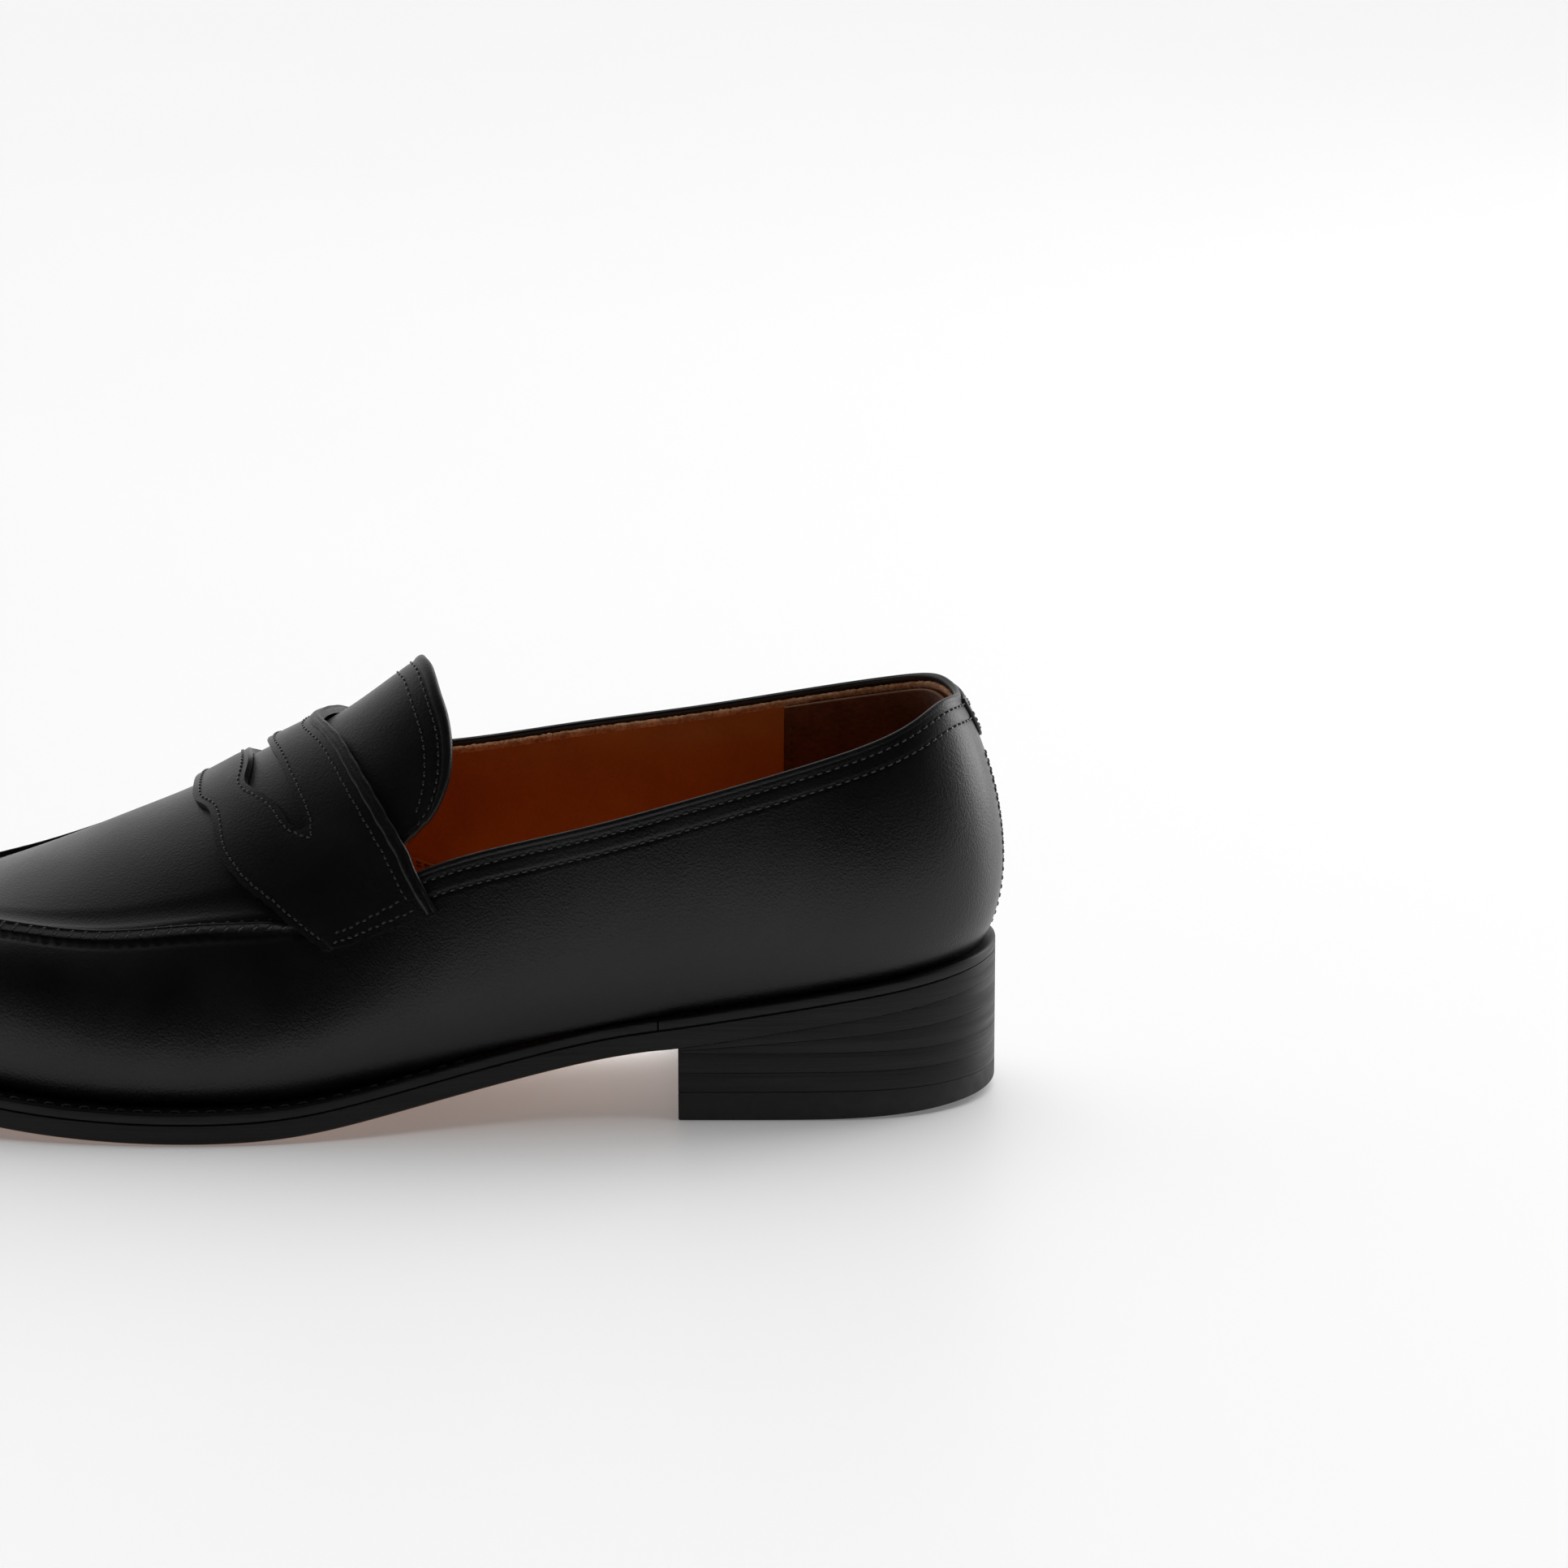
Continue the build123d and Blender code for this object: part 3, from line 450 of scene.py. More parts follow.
def panel_rings(outer, inner):
    """Rings of a leather panel from the grids of its two faces, with rounded edges between them."""
    def rim(start, end, before):
        middle, half = (start + end) / 2, (start - end) / 2
        away = unit(start + end - before[0] - before[1]) * np.linalg.norm(half, axis=-1, keepdims=True)
        angles = np.radians([35, 65, 90, 115, 145])
        return [middle + half * math.cos(a) + away * math.sin(a) * 0.6 for a in angles]
    top = rim(outer[:, -1], inner[:, -1], (outer[:, -2], inner[:, -2]))
    bottom = rim(inner[:, 0], outer[:, 0], (inner[:, 1], outer[:, 1]))
    half = [bottom[2], bottom[3], bottom[4]]
    other = [bottom[0], bottom[1]]
    columns = half + list(np.moveaxis(outer, 1, 0)) + top + list(np.moveaxis(inner[:, ::-1], 1, 0)) + other
    return np.stack(columns, 1)


def of_faces(piece, kind):
    """The centres or the normals of a piece's faces."""
    values = np.zeros(len(piece.data.polygons) * 3)
    piece.data.polygons.foreach_get(kind, values)
    return values.reshape(-1, 3)


def turn_up(piece):
    """Turns an open sheet's faces so that they look up."""
    if of_faces(piece, "normal")[:, 2].sum() < 0:
        piece.data.flip_normals()


def bevel(piece, width):
    """Rounds a piece's sharp edges over a width in mm."""
    made = piece.modifiers.new("edge", "BEVEL")
    made.width = width / 1000
    made.segments = 3
    made.limit_method = "ANGLE"
    made.angle_limit = math.radians(50)
    weighted = piece.modifiers.new("shading", "WEIGHTED_NORMAL")
    weighted.keep_sharp = False


def thicken(piece, thickness):
    """Gives a sheet its thickness in mm, inwards."""
    made = piece.modifiers.new("thickness", "SOLIDIFY")
    made.thickness = thickness / 1000
    made.offset = -1


def plate(name, plan, bottom, top, low_round, high_round, levels=5, low_share=None):
    """A slab on a grid of plan positions between two heights f(x), with rounded rims outside the grid."""
    rows, columns = plan.shape[:2]
    flat = plan.reshape(-1, 2)
    index = np.arange(len(flat)).reshape(rows, columns)
    loop = np.concatenate([index[0], index[1:, -1], index[-1, -2::-1], index[-2:0:-1, 0]])
    path = flat[loop]
    keep = np.linalg.norm(path - np.roll(path, 1, axis=0), axis=1) > 1e-5
    loop, path = loop[keep], path[keep]
    along = unit(np.roll(path, -1, axis=0) - np.roll(path, 1, axis=0))
    out = np.stack([along[:, 1], -along[:, 0]], -1)
    if np.sum(path[:, 0] * np.roll(path[:, 1], -1) - np.roll(path[:, 0], -1) * path[:, 1]) < 0:
        out = -out
    x = flat[:, 0]
    grids = [np.column_stack([flat, bottom(x)]), np.column_stack([flat, top(x)])]
    low = low_round * (low_share(path[:, 0]) if low_share else 1.0)
    reach = max(low_round, high_round)
    rings = []
    for angle in np.radians(np.linspace(-90, 0, levels)):
        spot = path + out * np.broadcast_to(reach - low * (1 - math.cos(angle)), len(path))[:, None]
        rings.append(np.column_stack([spot, bottom(spot[:, 0]) + low * (1 + math.sin(angle))]))
    for angle in np.radians(np.linspace(0, 90, levels)):
        spot = path + out * (reach - high_round * (1 - math.cos(angle)))
        rings.append(np.column_stack([spot, top(spot[:, 0]) - high_round * (1 - math.sin(angle))]))
    points = np.vstack(grids + rings)
    faces = grid_faces(rows, columns)
    faces += [tuple(len(flat) + k for k in face) for face in grid_faces(rows, columns)]
    start = 2 * len(flat)
    size = len(loop)
    bands = [loop] + [start + size * k + np.arange(size) for k in range(len(rings))] + [loop + len(flat)]
    for lower, upper in zip(bands, bands[1:]):
        faces += np.stack([lower, np.roll(lower, -1), np.roll(upper, -1), upper], -1).tolist()
    return add_mesh(name, points, faces, sharp=50)


def stitches(name, rows, pitch, share, radius, sink=0.55):
    """Threads along rows of (points, normals), each diving into the leather at both ends. Without a pitch
    there is one thread to a row."""
    # along a stitch: share of its length, share of its radius, and radii above the leather
    along_share = np.array([0.0, 0.10, 0.28, 0.72, 0.90, 1.0])
    girth = np.array([0.35, 0.8, 1.0, 1.0, 0.8, 0.35])
    dip = np.array([-1.5, -0.55, 0.1, 0.1, -0.55, -1.5])
    sides = 8
    points, faces = [], []
    for path, normals in rows:
        length = lengths_along(path)
        step = pitch or length[-1]
        count = int(length[-1] / step)
        first = np.arange(count) * step + (length[-1] - count * step) / 2
        spots = first[:, None] + along_share[None, :] * step * share
        centre = np.stack([np.interp(spots, length, path[:, k]) for k in range(3)], -1)
        normal = unit(np.stack([np.interp(spots, length, normals[:, k]) for k in range(3)], -1))
        centre = centre + normal * (radius * (dip + 1 - sink))[None, :, None]
        along = unit(centre[:, -1:] - centre[:, :1])
        side = unit(np.cross(normal, along))
        turn = np.arange(sides) * 2 * math.pi / sides
        away = (side[:, :, None] * np.cos(turn)[None, None, :, None]
                + normal[:, :, None] * np.sin(turn)[None, None, :, None])
        ring = centre[:, :, None] + away * (girth * radius)[None, :, None, None]
        tube = np.array(grid_faces(len(girth), sides, True))
        for stitch in ring.reshape(count, -1, 3):
            start = len(points) * len(stitch)
            points.append(stitch)
            faces += (tube + start).tolist()
            faces.append(tuple(start + np.arange(sides)[::-1]))
            faces.append(tuple(start + len(stitch) - sides + np.arange(sides)))
    return add_mesh(name, np.vstack(points), faces)


def wall_row(ts, vs, lift):
    """A row of stitches' path and normals on the wall."""
    path = wall(ts, vs, lift)
    return path, wall(ts, vs, np.asarray(lift) + 1.0) - path


def lining_row(ts, vs, depth):
    """The same on a face that looks into the shoe, at a depth behind the wall's surface."""
    path, normals = wall_row(ts, vs, -depth)
    return path, -normals


def instep_row(xs, girths, lift):
    """The same on the instep's surface."""
    path = on_instep(xs, girths, lift)
    return path, on_instep(xs, girths, np.asarray(lift) + 1.0) - path


def ease(value):
    value = np.clip(value, 0.0, 1.0)
    return value * value * (3 - 2 * value)


def groove(distance, width):
    """1 on a line and 0 further than a width from it."""
    return ease(1 - np.abs(distance) / width)


def sine_noise(t, seed):
    """A smooth irregular wave between about -1 and 1."""
    return (np.sin(t * 0.71 + seed) + np.sin(t * 0.23 + 2.1 * seed) + np.sin(t * 1.37 + 0.7 * seed)) / 3


# ---- materials ----
class Tree:
    """Nodes being put together on a material or on the surround."""

    def __init__(self, made, shader, coordinates):
        self.made = made
        made.use_nodes = True
        self.tree = made.node_tree
        self.shader = self.tree.nodes[shader]
        self.place = self.tree.nodes.new("ShaderNodeTexCoord").outputs[coordinates]

    def node(self, kind, settings=None, **inputs):
        made = self.tree.nodes.new("ShaderNode" + kind)
        for key, value in (settings or {}).items():
            setattr(made, key, value)
        for key, value in inputs.items():
            socket = made.inputs[key.replace("_", " ")]
            if isinstance(value, bpy.types.NodeSocket):
                self.tree.links.new(value, socket)
            else:
                socket.default_value = value
        return made

    def ramp(self, factor, *stops):
        made = self.node("ValToRGB", Fac=factor)
        ramp = made.color_ramp
        for _ in stops[2:]:
            ramp.elements.new(0.5)
        for element, (position, colour) in zip(ramp.elements, stops):
            element.position = position
            element.color = (*colour, 1)
        return made.outputs["Color"]

    def between(self, factor, low, high, start=0.25, end=0.75):
        made = self.node("MapRange", Value=factor, From_Min=start, From_Max=end, To_Min=low, To_Max=high)
        return made.outputs["Result"]

    def finish(self, **links):
        for socket, value in links.items():
            self.tree.links.new(value, self.shader.inputs[socket.replace("_", " ")])
        return self.made


class Look(Tree):
    """A principled material."""

    def __init__(self, name, **sockets):
        super().__init__(bpy.data.materials.new(name), "Principled BSDF", "Object")
        for socket, value in sockets.items():
            self.shader.inputs[socket.replace("_", " ")].default_value = value

    def stretched(self, x, y, z):
        return self.node("Mapping", Vector=self.place, Scale=(x, y, z)).outputs["Vector"]

    def noise(self, scale, detail=3.0, place=None):
        made = self.node("TexNoise", Vector=place or self.place, Scale=scale, Detail=detail)
        return made.outputs["Fac"]

    def cells(self, scale, place=None):
        made = self.node("TexVoronoi", {"feature": "SMOOTH_F1"}, Vector=place or self.place, Scale=scale)
        return made.outputs["Distance"]

    def add(self, a, b):
        made = self.tree.nodes.new("ShaderNodeMath")
        made.operation = "ADD"
        self.tree.links.new(a, made.inputs[0])
        self.tree.links.new(b, made.inputs[1])
        return made.outputs[0]

    def mix(self, share, a, b):
        return self.node("Mix", {"data_type": "FLOAT"}, Factor=share, A=a, B=b).outputs[0]

    def bump(self, height, distance, before=None):
        inputs = {"Height": height, "Distance": distance, "Strength": 1.0}
        if before is not None:
            inputs["Normal"] = before
        return self.node("Bump", **inputs).outputs["Normal"]


def calf(name, shine=1.0):
    """Fine-grained black calf with a waxed, semi-gloss face."""
    look = Look(name, Coat_Weight=0.10 * shine, Coat_Roughness=0.25, Specular_IOR_Level=0.38)
    cloud = look.noise(55, 3)
    pores = look.noise(2600, 2)
    grain = look.cells(1900)
    colour = look.ramp(cloud, (0.3, (0.0022, 0.0022, 0.0024)), (0.7, (0.0042, 0.0041, 0.0042)))
    rough = look.between(look.add(cloud, pores), 0.34, 0.46, 0.7, 1.3)
    normal = look.bump(cloud, 0.00012)
    normal = look.bump(grain, 0.00007, normal)
    normal = look.bump(pores, 0.00003, normal)
    return look.finish(Base_Color=colour, Roughness=rough, Normal=normal)


def tanned(name, dark, light, rough=(0.42, 0.6), scale=320, depth=0.00002, sheen=0.0):
    """Undyed or tan leather: mottled colour, fine pores."""
    look = Look(name, Sheen_Weight=sheen, Specular_IOR_Level=0.35)
    cloud = look.noise(scale / 6, 5)
    pores = look.cells(scale * 5)
    specks = look.noise(scale * 4, 3)
    colour = look.ramp(look.mix(0.3, cloud, specks), (0.34, dark), (0.66, light))
    normal = look.bump(pores, depth)
    normal = look.bump(specks, depth * 1.2, normal)
    return look.finish(Base_Color=colour, Roughness=look.between(specks, *rough), Normal=normal)


def inked_edge():
    """Black ink on a burnished leather edge, with fine marks that run along the layers."""
    look = Look("inked_edge", Specular_IOR_Level=0.3)
    streaks = look.noise(1.0, 4, look.stretched(45, 45, 2600))
    wide = look.noise(1.0, 3, look.stretched(18, 18, 420))
    specks = look.noise(1500, 2)
    colour = look.ramp(wide, (0.35, (0.0024, 0.0023, 0.0023)), (0.75, (0.0052, 0.0049, 0.0048)))
    rough = look.between(look.add(streaks, wide), 0.36, 0.58, 0.7, 1.3)
    normal = look.bump(streaks, 0.00005)
    normal = look.bump(specks, 0.00001, normal)
    return look.finish(Base_Color=colour, Roughness=rough, Normal=normal)


def suede():
    """Brown napped leather."""
    look = Look("grip_suede", Sheen_Weight=0.35, Sheen_Roughness=0.5, Specular_IOR_Level=0.2)
    nap = look.noise(1.0, 4, look.stretched(700, 700, 1100))
    cloud = look.noise(90, 4)
    colour = look.ramp(look.mix(0.4, cloud, nap), (0.35, (0.075, 0.026, 0.009)), (0.68, (0.19, 0.078, 0.03)))
    return look.finish(Base_Color=colour, Roughness=look.between(nap, 0.8, 0.98),
                       Normal=look.bump(nap, 0.00012))


def raw_edge():
    """Cut edge of the lining, pale and fibrous."""
    look = Look("raw_edge", Sheen_Weight=0.4, Specular_IOR_Level=0.2)
    fibres = look.noise(1.0, 5, look.stretched(1500, 1500, 1500))
    cloud = look.noise(260, 3)
    colour = look.ramp(look.mix(0.5, cloud, fibres), (0.35, (0.32, 0.12, 0.045)), (0.62, (0.78, 0.42, 0.22)))
    return look.finish(Base_Color=colour, Roughness=look.between(fibres, 0.75, 0.95),
                       Normal=look.bump(fibres, 0.00018))


def thread_look(name, dark, light):
    """Waxed thread, twisted."""
    look = Look(name, Coat_Weight=0.5, Coat_Roughness=0.18)
    twist = look.noise(3800, 2)
    return look.finish(Base_Color=look.ramp(twist, (0.35, dark), (0.7, light)),
                       Roughness=look.between(twist, 0.22, 0.42), Normal=look.bump(twist, 0.00003))


def hard(name, dark, light, rough, metallic=0.0, scale=400, depth=0.00001):
    """Rubber, metal or board with a fine mottle."""
    look = Look(name, Metallic=metallic)
    cloud = look.noise(scale, 4)
    return look.finish(Base_Color=look.ramp(cloud, (0.3, dark), (0.7, light)),
                       Roughness=look.between(cloud, *rough), Normal=look.bump(cloud, depth))


def cork():
    look = Look("ground_cork")
    crumbs = look.node("TexVoronoi", {"feature": "F1"}, Vector=look.place, Scale=420.0).outputs["Color"]
    shade = look.node("SeparateColor", Color=crumbs).outputs[0]
    return look.finish(Base_Color=look.ramp(shade, (0.1, (0.2, 0.11, 0.05)), (0.9, (0.5, 0.32, 0.17))),
                       Roughness=look.between(shade, 0.8, 0.95), Normal=look.bump(shade, 0.00008))


CALF = calf("black_calf")
STRAP_CALF = calf("black_calf_strap", 0.8)
EDGE_INK = inked_edge()
LINING_TAN = tanned("lining_tan", (0.44, 0.125, 0.014), (0.56, 0.185, 0.026), sheen=0.05)
RAW_EDGE = raw_edge()
SUEDE = suede()
SOLE_TAN = tanned("sole_tan", (0.42, 0.19, 0.08), (0.60, 0.31, 0.15), (0.45, 0.65), 160)
INSOLE_TAN = tanned("insole_tan", (0.46, 0.26, 0.13), (0.62, 0.40, 0.22), (0.5, 0.7), 200)
BLACK_THREAD = thread_look("black_thread", (0.004, 0.004, 0.004), (0.018, 0.018, 0.018))
BROWN_THREAD = thread_look("brown_thread", (0.03, 0.012, 0.005), (0.09, 0.04, 0.018))
RUBBER = hard("black_rubber", (0.006, 0.006, 0.006), (0.012, 0.012, 0.012), (0.55, 0.75))
BRASS = hard("brass", (0.55, 0.36, 0.12), (0.75, 0.54, 0.22), (0.25, 0.4), metallic=1.0)
STEEL = hard("steel", (0.42, 0.43, 0.45), (0.6, 0.61, 0.63), (0.28, 0.42), metallic=1.0)
BOARD = hard("leather_board", (0.30, 0.19, 0.11), (0.46, 0.32, 0.2), (0.75, 0.92), depth=0.00004)
CORK = cork()


def give(piece, material, body="shoe", node=None):
    """Puts a piece's material on it, parents it to the body it rides on, and hides the CAD node it stands in
    for.
    """
    piece.data.materials.clear()
    piece.data.materials.append(material)
    if body:
        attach(piece, body)
    if node:
        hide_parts(node)


def sew(name, rows, material, pitch=STITCH_PITCH, share=0.7, radius=THREAD):
    """Stitches that ride on the shoe."""
    give(stitches(name, rows, pitch, share, radius), material)


def paint(piece, material, rule):
    """A second material on the faces where rule(centres, normals), in metres, holds."""
    piece.data.materials.append(material)
    chosen = rule(of_faces(piece, "center"), of_faces(piece, "normal"))
    piece.data.polygons.foreach_set("material_index", chosen.astype(np.int32))


# ---- upper ----
UPPER = "upper_leather"
LINING_SLOT = "lining_leather"
EDGE_SLOT = "edge_leather"


def quarters_share(t):
    """1 along the topline of the quarters and 0 along the apron."""
    x = ROWS[3](t)[..., 0]
    return ease((BEAD_ENDS[0] + 26 - x) / 14)


def make_skirt():
    """Vamp sides and quarters, pulled in along the topline's stitches and puckered along the apron seam."""
    ts = np.concatenate([[BACK_SEAM], np.arange(1.0, ROUND - 0.9, 0.95), [ROUND - BACK_SEAM]])
    # mm below the top of the wall, close together where the stitches are
    down = np.concatenate([np.arange(0, 8.1, 0.45), [8.8, 9.8, 11]])
    low = np.linspace(0, 1, 30)[:-1]
    top = below_top(ts, down[-1])
    upper_v = np.stack([below_top(ts, d) for d in down[::-1]], 1)
    v = np.hstack([top[:, None] * low[None, :], upper_v])
    t = np.broadcast_to(ts[:, None], v.shape)
    near_top = np.broadcast_to(down[::-1], (len(ts), len(down)))
    distance = np.hstack([np.full((len(ts), len(low)), FAR), near_top])
    quarters = quarters_share(t)
    rows = sum(groove(distance - row, 0.9) for row in ROWS_BELOW_EDGE)
    lift = -0.20 * rows * quarters
    seam = 1 - quarters
    pucker = 0.5 + 0.5 * np.cos(2 * math.pi * t / APRON_PITCH)
    lift = lift - seam * groove(distance - 2.6, 2.2) * (0.25 + 0.35 * pucker)
    back = np.minimum(t, ROUND - t)
    lift = lift - 0.22 * groove(back, 0.8) - 0.10 * groove(back - 1.7, 0.8)
    lift = lift + 0.05 * sine_noise(t * 0.35 + v * 9, 1.3) * ease(v * 3) * ease((1 - v) * 4)
    outer = wall(t, v, lift)
    inner = wall(t[:, ::3], v[:, ::3], -LEATHER)
    rings = np.concatenate([outer, inner[:, ::-1]], 1)
    give(panel("skirt_leather", rings), CALF, node="skirt")


def seam_frames(ts):
    """Along the apron seam: the wall's top, and unit vectors along it, off the foot and to the apron."""
    top = wall_point(ts, 1.0)
    along = unit(wall_point(ts + 0.5, 1.0) - wall_point(ts - 0.5, 1.0))
    facing = wall(ts, 1.0, np.ones_like(ts)) - top + instep_lifted(top[:, 0], top[:, 1], 1.0) - top
    facing = unit(facing - along * np.sum(along * facing, axis=1, keepdims=True))
    return top, along, facing, np.cross(facing, along)


def seam_stations(step):
    start, end = station_at(RIDGE_ENDS[0], True), station_at(RIDGE_ENDS[1], False)
    return np.linspace(start, end, int((end - start) / step))


def make_apron():
    """The plug inside the hand-sewn seam, with a shallow valley beside the ridge."""
    rows, columns = 230, 90
    rear_t = (station_at(APRON_REAR_X, True), station_at(APRON_REAR_X, False))
    share = np.linspace(0, 1, rows)
    side = [rear_t[0] + (TOE - rear_t[0]) * share, rear_t[1] + (TOE - rear_t[1]) * share]
    rims = []
    for ts in side:
        edge = wall_point(ts, 1.0)[:, :2]
        along = unit(wall_point(ts + 0.5, 1.0)[:, :2] - wall_point(ts - 0.5, 1.0)[:, :2])
        rims.append(edge + np.stack([along[:, 1], -along[:, 0]], -1) * APRON_INSET)
    across = (1 - np.cos(np.linspace(0, math.pi, columns))) / 2
    across = 0.5 * across + 0.5 * np.linspace(0, 1, columns)
    plan = rims[0][:, None] * (1 - across[None, :, None]) + rims[1][:, None] * across[None, :, None]
    # the rear rim is drawn forward to lie hidden under the strap and the tongue's root
    rear_girths = np.linspace(60, -40, 80)
    rear_line = on_instep(strap_rear_x(rear_girths) + TONGUE_HIDDEN + 1.5, rear_girths)
    order = np.argsort(rear_line[:, 1])
    rear_x = np.interp(plan[0, :, 1], rear_line[order, 1], rear_line[order, 0])
    fade = np.clip(1 - share / 0.7, 0, 1)[:, None] ** 1.5
    plan[:, :, 0] += (rear_x - plan[0, :, 0])[None, :] * fade
    x, y = plan[..., 0], plan[..., 1]
    # mm from the seam, for the turned-up rim and the valley inside it
    seam = wall_point(np.linspace(rear_t[0], rear_t[1], 900), 1.0)[:, :2]
    flat = plan.reshape(-1, 2)
    distance = np.concatenate([np.sqrt(((part[:, None] - seam[None]) ** 2).sum(-1)).min(1)
                               for part in np.array_split(flat, 40)]).reshape(x.shape)
    lift = 0.35 * ease((2.6 - distance) / 1.4) - 0.30 * groove(distance - 4.0, 2.8)
    lift = lift + 0.06 * sine_noise(x * 0.12 + y * 0.05, 0.4) * ease((distance - 5) / 8)
    outer = instep_lifted(x, y, lift)
    piece = add_mesh("apron_leather", outer.reshape(-1, 3), grid_faces(rows, columns))
    turn_up(piece)
    thicken(piece, LEATHER)
    give(piece, CALF, node="apron")


def make_ridge():
    """Hand-sewn ridge: a standing lip of leather, nearly upright outside and pulled in by the stitches."""
    ts = seam_stations(0.42)
    top, along, facing, inward = seam_frames(ts)
    length = lengths_along(top)
    inner_side = 0.25 + 0.75 * ease((ts - TOE) / 30 + 0.5)
    pull = (0.5 - 0.5 * np.cos(2 * math.pi * length / APRON_PITCH)) * inner_side
    ends = ease((length - 1) / 7) * ease((length[-1] - 1 - length) / 7)
    tall = (0.15 + 0.85 * ends)[:, None]
    squeeze = pull[:, None]
    # (towards the apron, away from the foot), and how far a stitch pulls that point (in, down)
    profile = [((-0.62, -0.60), (0, 0)), ((-0.62, 0.10), (0, 0)), ((-0.60, 0.34), (0.05, 0)),
               ((-0.42, 0.46), (0.06, 0)), ((-0.28, 0.52), (0.05, 0)), ((-0.30, 0.80), (0.08, 0)),
               ((-0.34, 1.30), (0.06, 0)), ((-0.33, 1.72), (0, 0)), ((-0.22, 1.90), (0, 0)),
               ((0.0, 1.98), (0, 0.02)), ((0.25, 1.94), (0, 0.08)), ((0.52, 1.78), (0, 0.20)),
               ((0.80, 1.45), (-0.18, 0.20)), ((1.0, 1.05), (-0.25, 0.1)), ((1.15, 0.65), (-0.2, 0)),
               ((1.35, 0.25), (-0.1, 0)), ((1.4, -0.60), (0, 0))]
    rings = []
    for (across, high), (pull_in, pull_down) in profile:
        spot = across + pull_in * squeeze
        height = high * np.where(high > 0, tall, 1) - pull_down * squeeze * ends[:, None]
        rings.append(top + inward * spot + facing * height)
    rings.append(top + inward * 0.4 - facing * 0.7)
    piece = swept("apron_ridge_leather", np.stack(rings, 1))
    give(piece, CALF, node="apron_ridge")
    # each stitch over the ridge and each one outside it: (to the apron, away from the foot, along the seam)
    over_path = ((0.30, 1.92, -0.9), (0.62, 1.72, -0.6), (0.88, 1.35, -0.2), (1.05, 0.95, 0.2),
                 (1.25, 0.55, 0.6), (1.5, 0.2, 0.9))
    outer_path = ((-0.7, 0.2, -0.8), (-0.95, 0.0, -0.35), (-1.0, -0.1, 0.2), (-0.8, 0.15, 0.7))
    over, outer = [], []
    for s in np.arange(2.0, length[-1] - 2.0, APRON_PITCH):
        i = min(np.searchsorted(length, s), len(ts) - 2)
        base, a, f, n = top[i], along[i], facing[i], inward[i]
        high = float(tall[i, 0])
        path = np.array([base + n * p + f * (q * high) + a * r for p, q, r in over_path])
        over.append((path, np.tile(f + n * 0.4, (len(path), 1))))
        path = np.array([base + n * p + f * q + a * r for p, q, r in outer_path])
        outer.append((path, np.tile(f - n, (len(path), 1))))
    sew("apron_seam_stitching", over + outer, BLACK_THREAD, None, 1.0, APRON_CORD)


def strap_grid(rungs):
    """Positions on the flat strap, in columns from its rear edge to the slot, across it and on to the front;
    then which rungs cross the slot, the shares of the slot's edges, and the strap's own edges."""
    numbers = np.linspace(0, len(STRAP_RUNGS) - 1, rungs)
    rear, front = strap_rear(numbers), strap_front(numbers)
    ends = np.array(SLOT_GIRTHS)

    def share_at(edge):
        """How far along each rung it crosses a slot's edge, which is given by girth: found step by step."""
        share = np.full(rungs, 0.5)
        for _ in range(12):
            girth = rear[:, 1] + (front[:, 1] - rear[:, 1]) * share
            girth = np.clip(girth, ends[0] + 0.01, ends[1] - 0.01)
            share = np.clip((edge(girth) - rear[:, 0]) / (front[:, 0] - rear[:, 0]), 0.1, 0.9)
        return share

    first, second = share_at(slot_rear), share_at(slot_front)
    girth = rear[:, 1] + (front[:, 1] - rear[:, 1]) * (first + second) / 2
    inside = (girth > ends[0]) & (girth < ends[1])
    to_end = np.minimum(girth - ends[0], ends[1] - girth)
    round_off = np.sqrt(np.clip(1 - (1 - np.clip(to_end, 0, SLOT_ROUND) / SLOT_ROUND) ** 2, 0.02, 1))
    middle, half = (first + second) / 2, (second - first) / 2 * round_off
    side = np.linspace(0, 1, STRAP_COLUMNS)[None, :]
    columns = [side * (middle - half)[:, None],
               middle[:, None] + half[:, None] * np.linspace(-1, 1, 6)[None, 1:-1],
               (middle + half)[:, None] + (1 - middle - half)[:, None] * side]
    share = np.hstack(columns)
    place = rear[:, None] + (front - rear)[:, None] * share[..., None]
    return place, inside, (middle - half), (middle + half), rear, front


def make_strap():
    """Saddle strap with its cut-out, soft edges and a slight dip along each row of stitches."""
    place, inside, first, second, rear, front = strap_grid(STRAP_ROWS)
    columns = place.shape[1]
    x, girth = place[..., 0], place[..., 1]
    reach = np.linalg.norm(front - rear, axis=1)
    share = (x - rear[:, :1]) / (front - rear)[:, :1]
    from_front = (1 - share) * reach[:, None]
    slot_gap = np.minimum(np.abs(share - first[:, None]), np.abs(share - second[:, None])) * reach[:, None]
    from_slot = np.where(inside[:, None], slot_gap, FAR)
    rows = groove(from_front - STRAP_FRONT_ROW, 1.1) + groove(from_slot - STRAP_SLOT_ROW, 1.1)
    lift = STRAP_LIFT + STRAP_THICK - 0.16 * rows + 0.05 * sine_noise(girth * 0.3 + x * 0.2, 2.0)
    points = on_instep(x, girth, lift)
    faces = []
    for i in range(STRAP_ROWS - 1):
        for j in range(columns - 1):
            if inside[i] and inside[i + 1] and STRAP_COLUMNS - 1 <= j < columns - STRAP_COLUMNS:
                continue
            corner, ahead = i * columns + j, (i + 1) * columns + j
            faces.append((corner, ahead, ahead + 1, corner + 1))
    piece = add_mesh("strap_leather", points.reshape(-1, 3), faces)
    turn_up(piece)
    thicken(piece, STRAP_THICK)
    bevel(piece, 0.42)
    give(piece, STRAP_CALF, node="strap")


